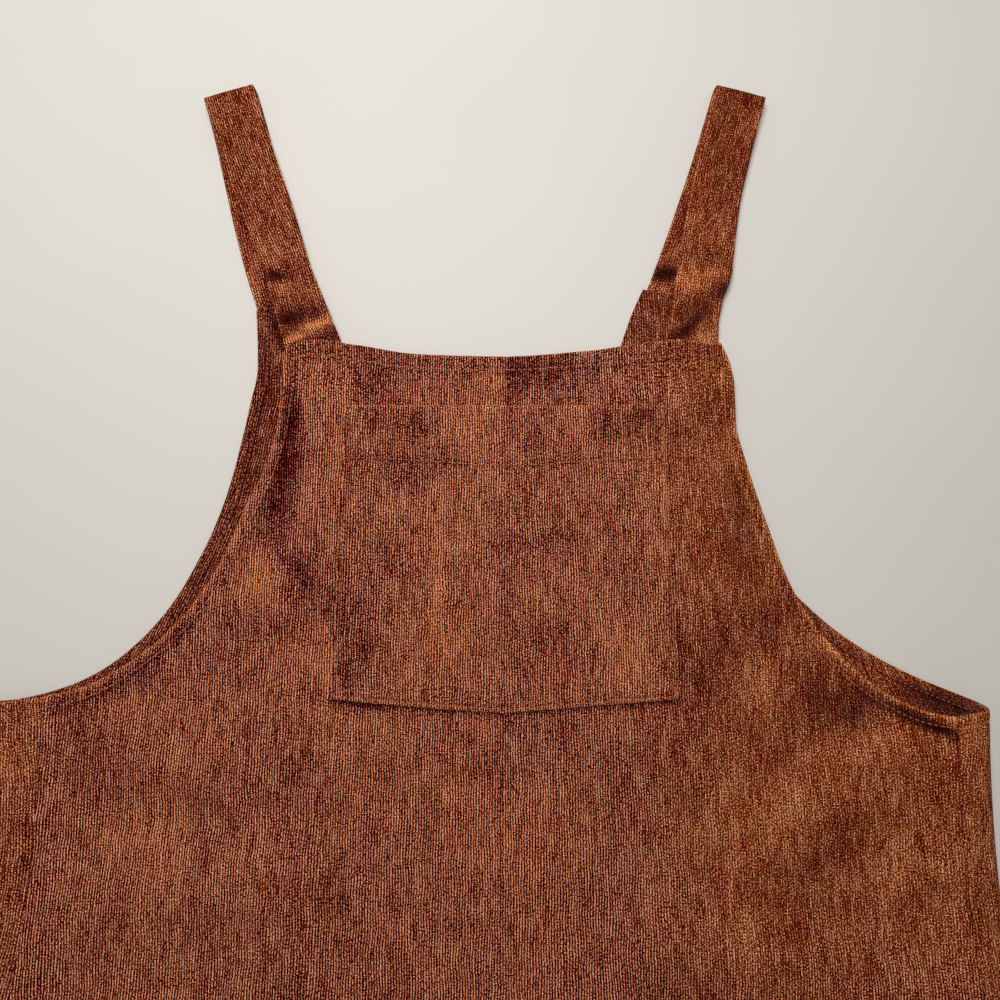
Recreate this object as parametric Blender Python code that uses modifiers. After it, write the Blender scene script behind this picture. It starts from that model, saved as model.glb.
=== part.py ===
"""Corduroy bib overalls, laid flat and face up on a table.

Sizes are in millimetres in the cutting frame: x runs to the right as the garment is seen, y runs up
from hem to shoulder, and z is the height above the table. The objects are in metres, with the middle
of the garment's box at the origin. "out" is the distance outwards from x = 0, on either side.
"""

import math
from collections import namedtuple

import bmesh
import bpy
import numpy as np

METRES = 0.001

# The cloth and its seams.
CLOTH = 1.2
HEM_WALL = 2.0
STRAP_WALL = 2.4
SEAM_GAP = 0.3
LAYER_GAP = 0.3

# The middle of the finished garment's box, in the cutting frame.
MIDDLE_X = -5.35
MIDDLE_Y = -452.6

# Heights along the garment.
BIB_TOP_Y = 86.0
POCKET_TOP_Y = 55.8
POCKET_HEM_Y = 24.0
CROTCH_Y = -510.0
LEG_HEM_Y = -1170.0
SHOULDER_Y = 256.0

# Where the first row below the armholes crosses the centre seams.
ROWS_START_Y = -152.0

# Turned hems and the strap.
BIB_HEM = 9.5
ARMHOLE_HEM = 6.5
HEM_STEP = 1.5
LEG_HEM = 25.0
STRAP_WIDTH = 31.0
STRAP_TAB_WIDTH = 35.0
STRAP_FOLD_RADIUS = 4.0
STRAP_TUCK = 26.0
STRAP_LIFT = 2.3
STRAP_DROP = 70.0
STRAP_CLEAR = 0.6
STRAP_RIDGE_FADE = 6.0

# The fold along the inside of each leg.
INSEAM_RADIUS = 3.5
INSEAM_RETURN = 5.0
INSEAM_SOFTNESS = 30.0
FLAT_CURL = 6.4
LEAST_CURL = 0.001
CROTCH_LEAD = 25.0
CROTCH_FADE = 60.0

# How far the height of a side fold spreads over the front: a base, and a share of its radius.
ROLL_SPREAD = 28.0
ROLL_SPREAD_PER_RADIUS = 1.4

# How gradually the front rises over the back's turned hems.
LIFT_FADE = 40.0

# Where the straps lift the top of the bib.
BIB_LIFT = 2.7
BIB_LIFT_HALF_WIDTH = 34.0
BIB_LIFT_FADE = 26.0
BIB_LIFT_FROM_Y = 34.0
BIB_LIFT_TO_Y = 62.0
BIB_PEAK_HALF_WIDTH = 42.0

Point = namedtuple("Point", "out y")
Line = namedtuple("Line", "y x")
Roll = namedtuple("Roll", "y apex radius seam_return")
FrontRow = namedtuple("FrontRow", "centre_y pocket_y along hem pocket_hem")
BackRow = namedtuple("BackRow", "inner outer")
Strap = namedtuple("Strap", "tab tab_lean fold fold_lean bib bib_lean peak peak_x")
Fold = namedtuple("Fold", "x0 y0 x1 y1 bow half_width height")

CENTRE_FRONT = (Line(86, 4.7), Line(-128, 1.6), Line(-510, -3.0))
CENTRE_BACK = (Line(22, -12.0), Line(-150, -9.0), Line(-510, -3.0))
CENTRE_BACK_X = -12.0

# The inside edge of each leg, out from x = 0.
LEG_INSIDE = {
    "left": (Point(3.0, -510), Point(14, -760), Point(26, -980), Point(38, -1170)),
    "right": (Point(-3.0, -510), Point(10, -760), Point(20, -980), Point(30, -1170)),
}

# The side folds: their outermost line, radius, and how far the back returns over the top to the side seam.
SIDE_ROLLS = {
    "left": (
        Roll(-109, 280, 4.5, 25.7),
        Roll(-200, 276, 4.8, 24),
        Roll(-320, 285, 5.2, 21),
        Roll(-430, 295, 5.0, 18),
        Roll(-540, 297, 4.5, 16),
        Roll(-760, 289, 4.2, 14),
        Roll(-980, 278, 4.0, 13),
        Roll(-1170, 268, 4.0, 12),
    ),
    "right": (
        Roll(-109, 264, 8.5, 11.5),
        Roll(-150, 261.5, 7.5, 11.5),
        Roll(-200, 261, 6.3, 12),
        Roll(-320, 271, 5.2, 12),
        Roll(-430, 283, 5.0, 12),
        Roll(-540, 286, 4.5, 12),
        Roll(-760, 281, 4.2, 12),
        Roll(-980, 272, 4.0, 12),
        Roll(-1170, 264, 4.0, 12),
    ),
}

# Armhole of each front half, from the bib's corner; it ends at the top of the side seam.
FRONT_ARMHOLE = {
    "left": (
        Point(128.4, 89.0),
        Point(127.0, 71.2),
        Point(128.5, 53.0),
        Point(134.6, 23.3),
        Point(148.2, -10.4),
        Point(160.5, -40.4),
        Point(175.2, -63.7),
        Point(203.8, -88.8),
        Point(227.4, -102.2),
    ),
    "right": (
        Point(132.5, 91.5),
        Point(137.4, 74.2),
        Point(138.1, 59.0),
        Point(142.2, 26.2),
        Point(152.6, -12.6),
        Point(166.9, -55.4),
        Point(182.0, -81.0),
        Point(199.5, -98.5),
        Point(217.0, -110.4),
        Point(230.2, -116.2),
    ),
}

# Armhole of each back half, measured along the cloth where it rolls round the side fold.
BACK_ARMHOLE = {
    "left": (
        Point(146.2, 115.7),
        Point(143.6, 72.6),
        Point(147.9, 42.2),
        Point(160.0, -0.5),
        Point(172.6, -35.6),
        Point(191.0, -64.2),
        Point(216.9, -89.5),
        Point(248.7, -106.8),
        Point(275.6, -112.5),
        Point(289.6, -112.3),
    ),
    "right": (
        Point(121.5, 115.7),
        Point(118.5, 72.6),
        Point(122.0, 42.0),
        Point(133.5, 0.0),
        Point(147.0, -32.0),
        Point(166.0, -56.5),
        Point(179.4, -70.3),
        Point(206.0, -87.3),
        Point(243.5, -103.0),
        Point(256.5, -109.3),
        Point(268.9, -113.6),
        Point(281.0, -116.0),
    ),
}
UNDERARM_Y = {"left": -109.1, "right": -118.4}

# The back neckline, out from the centre back, from the shoulder tab down to the centre back seam.
BACK_NECKLINE = (
    Point(98.3, 129.6),
    Point(91.5, 114.6),
    Point(84.0, 94.3),
    Point(75.0, 72.0),
    Point(62.0, 50.0),
    Point(43.0, 33.0),
    Point(22.0, 25.0),
    Point(0.15, 22.0),
)

# The rows of a front half down to the underarm: where each crosses the centre front and the pocket's
# side line, and how far along the armhole it ends. The last two columns are shares of a full turned hem.
FRONT_ROWS = (
    FrontRow(BIB_TOP_Y, BIB_TOP_Y, 0.000, 1, 0),
    FrontRow(BIB_TOP_Y - BIB_HEM, BIB_TOP_Y - BIB_HEM, 0.038, 1, 0),
    FrontRow(BIB_TOP_Y - BIB_HEM - HEM_STEP, BIB_TOP_Y - BIB_HEM - HEM_STEP, 0.045, 0, 0),
    FrontRow(65.5, 65.5, 0.088, 0, 1),
    FrontRow(POCKET_TOP_Y, POCKET_TOP_Y, 0.135, 0, 1),
    FrontRow(40.5, 40.5, 0.200, 0, 1),
    FrontRow(POCKET_HEM_Y + HEM_STEP, POCKET_HEM_Y + HEM_STEP, 0.262, 0, 1),
    FrontRow(POCKET_HEM_Y, POCKET_HEM_Y, 0.269, 0, 0),
    FrontRow(6.0, 6.0, 0.345, 0, 0),
    FrontRow(-14.0, -14.0, 0.430, 0, 0),
    FrontRow(-34.0, -34.0, 0.518, 0, 0),
    FrontRow(-54.0, -54.0, 0.605, 0, 0),
    FrontRow(-75.0, -74.0, 0.697, 0, 0),
    FrontRow(-96.5, -93.0, 0.790, 0, 0),
    FrontRow(-117.0, -109.5, 0.874, 0, 0),
    FrontRow(-134.0, -128.0, 0.940, 0, 0),
    FrontRow(ROWS_START_Y, -147.0, 1.000, 0, 0),
)
POCKET_FIRST_ROW = 4
POCKET_LAST_ROW = 14

# The pocket's side lines, out from x = 0.
POCKET_SIDE = {
    "left": (Point(86.1, 90), Point(86.3, 55.4), Point(88.0, -34.2), Point(90.9, -110), Point(92, -152)),
    "right": (Point(96.0, 90), Point(96.2, 55.4), Point(97.4, 13.4), Point(98.6, -110), Point(99, -152)),
}

# The rows of a back half down to the underarm: how far along the neckline and centre back seam
# together, and how far along the armhole.
BACK_ROWS = (
    BackRow(0.000, 0.000),
    BackRow(0.060, 0.055),
    BackRow(0.125, 0.115),
    BackRow(0.190, 0.180),
    BackRow(0.255, 0.245),
    BackRow(0.320, 0.310),
    BackRow(0.385, 0.375),
    BackRow(0.450, 0.440),
    BackRow(0.520, 0.505),
    BackRow(0.590, 0.570),
    BackRow(0.660, 0.635),
    BackRow(0.730, 0.700),
    BackRow(0.800, 0.765),
    BackRow(0.860, 0.830),
    BackRow(0.910, 0.890),
    BackRow(0.955, 0.945),
    BackRow(1.000, 1.000),
)

# Where the rows below the underarm cross the centre seams and the inseams.
LOWER_ROWS_Y = (
    *(-195, -240, -285, -330, -375, -420, -465, -488, -510, -535, -580, -630, -680, -730),
    *(-780, -830, -880, -930, -980, -1030, -1085),
    *(LEG_HEM_Y + LEG_HEM + HEM_STEP, LEG_HEM_Y + LEG_HEM, LEG_HEM_Y),
)
ROW_LEVELLING = 200.0

# The share of an edge's length over which its direction is taken.
EDGE_STEP = 0.004

# Shares of the width at which the columns of the cloth lie.
POCKET_COLUMNS = (0.0, 0.2, 0.4, 0.6, 0.8, 1.0)
SIDE_COLUMNS = (0.25, 0.5, 0.75, 1.0)
BACK_COLUMNS = (0.2, 0.4, 0.6, 0.8)
ROLL_STEPS = 4
ROLL_LEAD = 30.0
CURL_STEPS = 4

# Each strap: its centre and lean (degrees from upright, positive to the right) at the back tab, at the
# shoulder fold and just above the bib, and how far and where it pulls the bib's top up.
STRAPS = {
    "left": Strap((-129.3, 122.6), -21.2, (-169.0, SHOULDER_Y), -18.0, (-114.7, 100.0), -17.5, 8.0, -104.0),
    "right": Strap((105.0, 122.6), 21.5, (150.0, SHOULDER_Y), 16.0, (115.2, 101.0), 8.0, 9.5, 106.0),
}
STRAP_ROWS = 10
STRAP_TUCK_ROWS = 3
STRAP_FOLD_STEPS = 6
STRAP_COLUMNS = 4

# The largest soft folds of the front: ridges between two points, bowed sideways.
FOLDS = (
    Fold(-104, 66, -112, -55, -6, 14, 2.4),
    Fold(-205, -98, -98, -48, 8, 17, 3.2),
    Fold(-240, -128, -100, -142, -10, 18, 3.4),
    Fold(112, 60, 120, -66, 6, 14, 2.0),
    Fold(222, -122, 112, -62, -8, 19, 3.2),
    Fold(238, -150, 110, -215, -12, 22, 5.0),
    Fold(-60, 30, 40, -70, 12, 22, 1.4),
    Fold(-258, -235, -60, -205, 14, 21, 5.0),
    Fold(242, -275, 48, -240, -12, 22, 4.6),
    Fold(22, -140, 44, -400, 12, 22, 4.2),
    Fold(-120, -170, -78, -420, -16, 24, 4.4),
    Fold(150, -250, 128, -470, 10, 22, 3.8),
    Fold(-226, -330, -128, -600, 20, 26, 6.2),
    Fold(214, -350, 118, -620, -18, 26, 5.8),
    Fold(-18, -470, -170, -395, 10, 20, 4.6),
    Fold(16, -478, 168, -410, -10, 20, 4.4),
    Fold(-40, -560, -206, -690, -14, 24, 5.4),
    Fold(44, -600, 214, -720, 14, 24, 5.0),
    Fold(-232, -700, -70, -850, 12, 24, 5.0),
    Fold(226, -760, 70, -890, -12, 24, 5.2),
    Fold(-120, -800, -158, -1120, 10, 24, 4.8),
    Fold(112, -900, 160, -1140, -10, 24, 4.6),
    Fold(-212, -900, -222, -1110, -8, 20, 3.6),
    Fold(228, -880, 214, -1060, 8, 20, 3.4),
)

# The ridges across the front runs of the straps.
STRAP_FOLDS = (
    Fold(-136, 96, -92, 108, 0, 6, 2.6),
    Fold(-146, 124, -104, 118, 0, 8, 1.8),
    Fold(96, 118, 142, 136, 0, 8, 2.6),
    Fold(98, 106, 140, 100, 0, 6, 1.4),
)

Finish = namedtuple("Finish", "red green blue roughness")
RUST_CORDUROY = Finish(0.17, 0.055, 0.022, 0.85)
DEEP_CORDUROY = Finish(0.14, 0.045, 0.019, 0.85)


def smooth(share):
    """A soft step from 0 to 1."""
    share = np.clip(share, 0.0, 1.0)
    return share * share * (3.0 - 2.0 * share)


def hermite(stations, values, at):
    """A smooth curve through the values, each with the slope that its neighbours give it."""
    stations = np.asarray(stations, float)
    values = np.asarray(values, float)
    if stations[0] > stations[-1]:
        stations = stations[::-1]
        values = values[::-1]
    slopes = np.gradient(values, stations)
    at = np.clip(at, stations[0], stations[-1])
    low = np.clip(np.searchsorted(stations, at, side="right") - 1, 0, len(stations) - 2)
    span = stations[low + 1] - stations[low]
    share = (at - stations[low]) / span
    rise = values[low + 1] - values[low]
    bend_in = slopes[low] * span - rise
    bend_out = rise - slopes[low + 1] * span
    ease = (1.0 - share) * bend_in + share * bend_out
    return values[low] + share * rise + share * (1.0 - share) * ease


def by_height(rows, column, y):
    """The named column of a table of rows, at this height along the garment."""
    return hermite([row.y for row in rows], [getattr(row, column) for row in rows], y)


def side_seam(side, y):
    """The side seam at this height: out on the front, and along the back's cloth."""
    start, radius, seam_return = roll_at(side, y)
    front = start - seam_return - SEAM_GAP / 2.0
    return front, start + math.pi * radius + seam_return - SEAM_GAP / 2.0


def along(points, share):
    """The point at this share of a smooth edge's length."""
    outs = np.array([point.out for point in points], float)
    ys = np.array([point.y for point in points], float)
    lengths = np.concatenate([[0.0], np.cumsum(np.hypot(np.diff(outs), np.diff(ys)))])
    at = np.asarray(share) * lengths[-1]
    return np.array([hermite(lengths, outs, at), hermite(lengths, ys, at)])


def inside_edge(points, share, width):
    """The point that lies this far inside the edge, square to it."""
    ahead = along(points, min(share + EDGE_STEP, 1.0))
    behind = along(points, max(share - EDGE_STEP, 0.0))
    run = ahead - behind
    run /= np.hypot(*run)
    inwards = np.array([run[1], -run[0]])
    return along(points, share) + inwards * width


def inside_seam(side, column, point, margin):
    """The point, moved in where it would reach past the side seam."""
    seam = side_seam(side, point[1])[column]
    return np.array([min(point[0], seam - margin), point[1]])


def sign(side):
    return -1.0 if side == "left" else 1.0


def folds_at(folds, x, y):
    """The height that the soft folds add at a point."""
    height = np.zeros(np.broadcast(x, y).shape)
    for fold in folds:
        run_x = fold.x1 - fold.x0
        run_y = fold.y1 - fold.y0
        length = math.hypot(run_x, run_y)
        share = ((x - fold.x0) * run_x + (y - fold.y0) * run_y) / length**2
        aside = ((y - fold.y0) * run_x - (x - fold.x0) * run_y) / length
        share = np.clip(share, 0.0, 1.0)
        aside = aside - fold.bow * 4.0 * share * (1.0 - share)
        height = height + fold.height * np.sin(math.pi * share) * np.exp(-((aside / fold.half_width) ** 2))
    return height


def crotch_curl(y):
    """How far the back's inner edge has curled up to meet the front: 0 above the crotch, 1 in the legs."""
    return smooth((CROTCH_Y + CROTCH_LEAD - y) / CROTCH_FADE)


def roll_at(side, y):
    """The side fold at this height: where its curve starts, its radius and the seam's return."""
    rows = SIDE_ROLLS[side]
    radius = by_height(rows, "radius", y)
    start = by_height(rows, "apex", y) - radius
    return start, radius, by_height(rows, "seam_return", y)


def inner_line(side, seam, y):
    """The line that the inner edges of front and back follow: the centre seam, then the inside of the leg."""
    centre = sign(side) * by_height(seam, "x", y)
    leg = by_height(LEG_INSIDE[side], "out", y)
    return np.where(y > CROTCH_Y, centre, leg) + SEAM_GAP / 2.0


def front_height(side, x, y):
    """The lower surface of the front's cloth."""
    out = sign(side) * x
    start, radius, _ = roll_at(side, y)
    over_armhole_hem = smooth((y - ROWS_START_Y) / LIFT_FADE + 0.5)
    over_leg_hem = smooth((LEG_HEM_Y + LEG_HEM + LIFT_FADE - y) / LIFT_FADE)
    base = CLOTH + LAYER_GAP + (HEM_WALL - CLOTH) * np.maximum(over_armhole_hem, over_leg_hem)
    spread = ROLL_SPREAD + ROLL_SPREAD_PER_RADIUS * radius
    near_side = np.exp(-((np.maximum(start - out, 0.0) / spread) ** 2))
    inner = inner_line(side, CENTRE_FRONT, y) + INSEAM_RADIUS
    near_inside = np.exp(-((np.maximum(out - inner, 0.0) / INSEAM_SOFTNESS) ** 2)) * crotch_curl(y)
    height = base + (2.0 * radius - CLOTH - base) * near_side
    height = height + (2.0 * INSEAM_RADIUS - CLOTH - base) * near_inside
    strap = STRAPS[side]
    aside = np.abs(x - strap.bib[0]) - BIB_LIFT_HALF_WIDTH
    lift = smooth(1.0 - aside / BIB_LIFT_FADE)
    lift = lift * smooth((y - BIB_LIFT_FROM_Y) / (BIB_LIFT_TO_Y - BIB_LIFT_FROM_Y))
    return height + BIB_LIFT * lift + folds_at(FOLDS, x, y)


def bib_top_rise(side, x, y):
    """How far the straps pull the top of the bib up, fading down to the top of the pocket."""
    strap = STRAPS[side]
    pull = np.exp(-(((x - strap.peak_x) / BIB_PEAK_HALF_WIDTH) ** 2))
    return strap.peak * pull * smooth((y - POCKET_TOP_Y) / (BIB_TOP_Y - POCKET_TOP_Y))


def side_y(side, row_y):
    """Where a row that crosses the centre at this height meets the side seam."""
    return row_y + (UNDERARM_Y[side] - ROWS_START_Y) * (1.0 - smooth((ROWS_START_Y - row_y) / ROW_LEVELLING))


def between(start, end, shares):
    return [start + (end - start) * share for share in shares]


def front_rows(side):
    """The flat points (out, y) of a front half, row by row, and the thickness of the cloth there."""
    rows = []
    weights = []
    edge = FRONT_ARMHOLE[side] + (Point(side_seam(side, UNDERARM_Y[side])[0], UNDERARM_Y[side]),)
    columns = len(POCKET_COLUMNS) + len(SIDE_COLUMNS)
    for row in FRONT_ROWS:
        centre = np.array([inner_line(side, CENTRE_FRONT, row.centre_y), row.centre_y])
        pocket = np.array([by_height(POCKET_SIDE[side], "out", row.pocket_y), row.pocket_y])
        step_in = inside_edge(edge, row.along, ARMHOLE_HEM + HEM_STEP)
        step_in = inside_seam(side, 0, step_in, ARMHOLE_HEM / 4.0)
        hem = inside_seam(side, 0, inside_edge(edge, row.along, ARMHOLE_HEM), ARMHOLE_HEM / 8.0)
        points = between(centre, pocket, POCKET_COLUMNS)
        points += between(pocket, step_in, SIDE_COLUMNS)
        points += [hem, along(edge, row.along)]
        rows.append(points)
        weights.append([row.hem] * columns + [1.0, 1.0])
    underarm = rows[-1]
    pocket_share = (underarm[len(POCKET_COLUMNS) - 1][0] - underarm[0][0]) / (underarm[-1][0] - underarm[0][0])
    for row_y in LOWER_ROWS_Y:
        curl = float(crotch_curl(row_y))
        inseam = SEAM_GAP / 2.0 + INSEAM_RADIUS + INSEAM_RETURN
        inner = inner_line(side, CENTRE_FRONT, row_y) + inseam * float(smooth(2.0 * curl - 1.0))
        centre = np.array([inner, row_y])
        seam_y = side_y(side, row_y)
        seam = np.array([side_seam(side, seam_y)[0], seam_y])
        pocket = centre + (seam - centre) * pocket_share
        step_in = seam - np.array([ARMHOLE_HEM + HEM_STEP, 0.0])
        points = between(centre, pocket, POCKET_COLUMNS)
        points += between(pocket, step_in, SIDE_COLUMNS)
        points += [seam - np.array([ARMHOLE_HEM, 0.0]), seam]
        rows.append(points)
        weights.append([float(row_y <= LEG_HEM_Y + LEG_HEM)] * (columns + 2))
    return np.array(rows), np.array(weights)


def front_surface(side):
    """The lower surface of a front half, and its share of a full hem."""
    flat, weights = front_rows(side)
    x = sign(side) * flat[..., 0]
    y = flat[..., 1] + bib_top_rise(side, x, flat[..., 1])
    return np.stack([x, y, front_height(side, x, y)], axis=-1), weights


def curl_at(side, y):
    """The curl along the inside of a leg: its length, turning angle, radius, return and reach."""
    share = np.maximum(crotch_curl(y), LEAST_CURL)
    length = FLAT_CURL + (math.pi * INSEAM_RADIUS - FLAT_CURL) * share
    angle = share * math.pi
    radius = length / angle
    back = INSEAM_RETURN * share
    reach = np.where(angle < math.pi / 2.0, radius * np.sin(angle) + back * np.cos(angle), radius)
    return length, angle, radius, back, reach


def back_point(side, along_cloth, y):
    """Rolls a flat point of the back round the side fold and the inside of the leg."""
    start, radius, _ = roll_at(side, y)
    length, angle, curl_radius, _, reach = curl_at(side, y)
    curl_start = inner_line(side, CENTRE_BACK, y) + reach
    curled = np.maximum(curl_start - along_cloth, 0.0)
    turn_in = np.minimum(curled / length, 1.0) * angle
    beyond_in = np.maximum(curled - length, 0.0)
    turn_out = np.clip((along_cloth - start) / radius, 0.0, math.pi)
    beyond_out = np.maximum(along_cloth - start - math.pi * radius, 0.0)
    out = np.clip(along_cloth, curl_start, start)
    out = out - curl_radius * np.sin(turn_in) - beyond_in * np.cos(angle)
    out = out + radius * np.sin(turn_out) - beyond_out
    top = front_height(side, sign(side) * out, y) + CLOTH
    height = top * (1.0 - np.cos(np.maximum(turn_in, turn_out))) / 2.0
    height = np.where(beyond_out > 0.0, top, height)
    height = np.where(beyond_in > 0.0, height + (top - height) * smooth(2.0 * crotch_curl(y) - 1.0), height)
    return np.stack([sign(side) * out, y, height], axis=-1)


def back_armhole_row(side, row, neckline, edge):
    """The inner edge, the two hem points and the outer edge of a back row above the underarm."""
    neck_length = np.hypot(*np.diff(np.array(neckline), axis=0).T).sum()
    seam_length = neckline[-1].y - ROWS_START_Y
    neck_share = neck_length / (neck_length + seam_length)
    if row.inner < neck_share:
        inner = along(neckline, row.inner / neck_share)
    else:
        y = neckline[-1].y - seam_length * (row.inner - neck_share) / (1.0 - neck_share)
        inner = np.array([inner_line(side, CENTRE_BACK, y), y])
    hem = inside_seam(side, 1, inside_edge(edge, row.outer, ARMHOLE_HEM), ARMHOLE_HEM / 8.0)
    step_in = inside_edge(edge, row.outer, ARMHOLE_HEM + HEM_STEP)
    return inner, inside_seam(side, 1, step_in, ARMHOLE_HEM / 4.0), hem, along(edge, row.outer)


def back_lower_row(side, row_y):
    """The same four points of a row below the underarm, where it ends at the side seam."""
    length, _, _, back, reach = curl_at(side, row_y)
    inner = np.array([inner_line(side, CENTRE_BACK, row_y) + reach - length - back, row_y])
    seam_y = side_y(side, row_y)
    end = np.array([side_seam(side, seam_y)[1], seam_y])
    hem = end - np.array([ARMHOLE_HEM, 0.0])
    return inner, hem - np.array([HEM_STEP, 0.0]), hem, end


def back_columns(side, inner, step_in):
    """Where the columns of a back row lie along its cloth: the inseam's curl, the flat, and the side roll."""
    length, _, _, back, _ = curl_at(side, inner[1])
    start, radius, _ = roll_at(side, step_in[1])
    curl_start = inner[0] + max(float(back), 1.0)
    curl_end = inner[0] + float(back + length)
    lead = min(ROLL_LEAD, (step_in[0] - curl_end) / 2.0)
    roll_start = min(start, step_in[0] - lead)
    roll_end = min(start + math.pi * radius, step_in[0] - HEM_STEP)
    columns = [inner[0], curl_start]
    columns += between(curl_end - length, curl_end, [step / CURL_STEPS for step in range(1, CURL_STEPS + 1)])
    columns += between(curl_end, roll_start, BACK_COLUMNS)
    columns += between(roll_start, roll_end, [step / ROLL_STEPS for step in range(ROLL_STEPS + 1)])
    columns.append(step_in[0])
    return np.array([float(column) for column in columns])


def back_surface(side):
    """The outer surface of a back half, and its share of a full hem."""
    edge = BACK_ARMHOLE[side] + (Point(side_seam(side, UNDERARM_Y[side])[1], UNDERARM_Y[side]),)
    offset = sign(side) * CENTRE_BACK_X
    neckline = [Point(point.out + offset, point.y) for point in BACK_NECKLINE]
    ends = [back_armhole_row(side, row, neckline, edge) for row in BACK_ROWS]
    ends += [back_lower_row(side, row_y) for row_y in LOWER_ROWS_Y]
    rows = []
    weights = []
    for index, (inner, step_in, hem, end) in enumerate(ends):
        columns = back_columns(side, inner, step_in)
        shares = (columns - inner[0]) / (step_in[0] - inner[0])
        points = [inner + (step_in - inner) * share for share in shares]
        rows.append(points + [hem, end])
        leg_hem = float(inner[1] <= LEG_HEM_Y + LEG_HEM)
        armhole = 1.0 if index < len(BACK_ROWS) else leg_hem
        weights.append([leg_hem] * len(points) + [armhole, armhole])
    flat = np.array(rows)
    return back_point(side, flat[..., 0], flat[..., 1]), np.array(weights)


def lean_to_heading(lean):
    return np.array([math.sin(math.radians(lean)), math.cos(math.radians(lean))])


def strap_run(start, start_lean, end, end_lean, steps):
    """Centre points and headings of a strap between two places, as one easy curve."""
    start = np.array(start)
    end = np.array(end)
    reach = math.hypot(*(end - start))
    slope_in = lean_to_heading(start_lean) * reach
    slope_out = lean_to_heading(end_lean) * reach
    for share in np.linspace(0.0, 1.0, steps + 1):
        ease = share * share * (3.0 - 2.0 * share)
        leave = share * (1.0 - share) ** 2
        arrive = -share * share * (1.0 - share)
        centre = start + (end - start) * ease + slope_in * leave + slope_out * arrive
        ease_slope = 6.0 * share * (1.0 - share)
        leave_slope = (1.0 - share) * (1.0 - 3.0 * share)
        arrive_slope = share * (3.0 * share - 2.0)
        heading = (end - start) * ease_slope + slope_in * leave_slope + slope_out * arrive_slope
        yield centre, heading / math.hypot(*heading)


def strap_surface(side):
    """The outer surface of one strap: up the back, over the shoulder fold and down behind the bib."""
    strap = STRAPS[side]
    fold = np.array(strap.fold)
    low = STRAP_LIFT + STRAP_WALL
    turned = 2.0 * STRAP_FOLD_RADIUS
    rows = []
    for centre, heading in strap_run(strap.tab, strap.tab_lean, strap.fold, strap.fold_lean, STRAP_ROWS):
        rows.append((centre, heading, 0.0))
    for step in range(1, STRAP_FOLD_STEPS):
        angle = math.pi * step / STRAP_FOLD_STEPS
        heading = lean_to_heading(strap.fold_lean)
        reach = heading * STRAP_FOLD_RADIUS * math.sin(angle)
        rows.append((fold + reach, heading, STRAP_FOLD_RADIUS * (1.0 - math.cos(angle))))
    front = list(strap_run(strap.bib, strap.bib_lean, strap.fold, strap.fold_lean, STRAP_ROWS))[::-1]
    for centre, heading in front:
        drop = smooth((fold[1] - centre[1]) / STRAP_DROP)
        over_tab = smooth((strap.tab[1] - centre[1]) / STRAP_TUCK)
        height = turned + (low + STRAP_CLEAR - turned) * drop - STRAP_CLEAR * over_tab
        rows.append((centre, heading, height))
    bib, heading = front[-1]
    for step in range(1, STRAP_TUCK_ROWS + 1):
        rows.append((bib - heading * STRAP_TUCK * step / STRAP_TUCK_ROWS, heading, low))
    surface = []
    for index, (centre, heading, height) in enumerate(rows):
        across = np.array([heading[1], -heading[0]])
        width = STRAP_TAB_WIDTH + (STRAP_WIDTH - STRAP_TAB_WIDTH) * smooth(index / (2.0 * STRAP_ROWS))
        shares = np.linspace(-0.5, 0.5, STRAP_COLUMNS + 1)
        x = centre[0] + across[0] * width * shares
        y = centre[1] + across[1] * width * shares
        ridges = np.zeros(len(shares))
        if index > STRAP_ROWS + STRAP_FOLD_STEPS:
            ridges = folds_at(STRAP_FOLDS, x, y) * smooth((y - strap.bib[1]) / STRAP_RIDGE_FADE - 0.5)
        surface.append(np.stack([x, y, height + ridges], axis=-1))
    return np.array(surface)


def corduroy(name, finish):
    """Brushed cotton corduroy: matt, with no shine of its own."""
    material = bpy.data.materials.new(name)
    material.use_nodes = True
    shader = material.node_tree.nodes["Principled BSDF"]
    shader.inputs["Base Color"].default_value = (finish.red, finish.green, finish.blue, 1.0)
    shader.inputs["Roughness"].default_value = finish.roughness
    shader.inputs["Metallic"].default_value = 0.0
    return material


def add_grid(mesh, surface):
    """Adds a grid of triangles through the surface's points and returns its vertices, row by row."""
    rows, columns = surface.shape[:2]
    made = bmesh.ops.create_grid(mesh, x_segments=columns - 1, y_segments=rows - 1, size=1.0)["verts"]
    placed = (surface - np.array([MIDDLE_X, MIDDLE_Y, 0.0])) * METRES
    for vert, point in zip(made, placed.reshape(-1, 3)):
        vert.co = point
    faces = list({face for vert in made for face in vert.link_faces})
    faces.sort(key=lambda face: min(vert.index for vert in face.verts))
    bmesh.ops.triangulate(mesh, faces=faces, quad_method="FIXED")
    return made


def cloth_object(name, mesh, finish, wall, upwards, weights=None):
    """An object whose open surface gets the wall of its cloth, thicker where it is turned in a hem."""
    mesh.normal_update()
    mesh.verts.ensure_lookup_table()
    if (mesh.verts[0].link_faces[0].normal.z > 0.0) != upwards:
        bmesh.ops.reverse_faces(mesh, faces=mesh.faces)
    data = bpy.data.meshes.new(name)
    mesh.to_mesh(data)
    mesh.free()
    data.materials.append(corduroy(name + "_corduroy", finish))
    obj = bpy.data.objects.new(name, data)
    bpy.data.collections["overalls"].objects.link(obj)
    shell = obj.modifiers.new("cloth", "SOLIDIFY")
    shell.thickness = wall * METRES
    shell.offset = 1.0 if upwards else -1.0
    if weights is not None:
        group = obj.vertex_groups.new(name="hem")
        for index, weight in enumerate(weights):
            group.add([index], float(weight), "REPLACE")
        shell.thickness = HEM_WALL * METRES
        shell.vertex_group = group.name
        shell.thickness_vertex_group = wall / HEM_WALL
    data.shade_smooth()
    return obj


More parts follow.
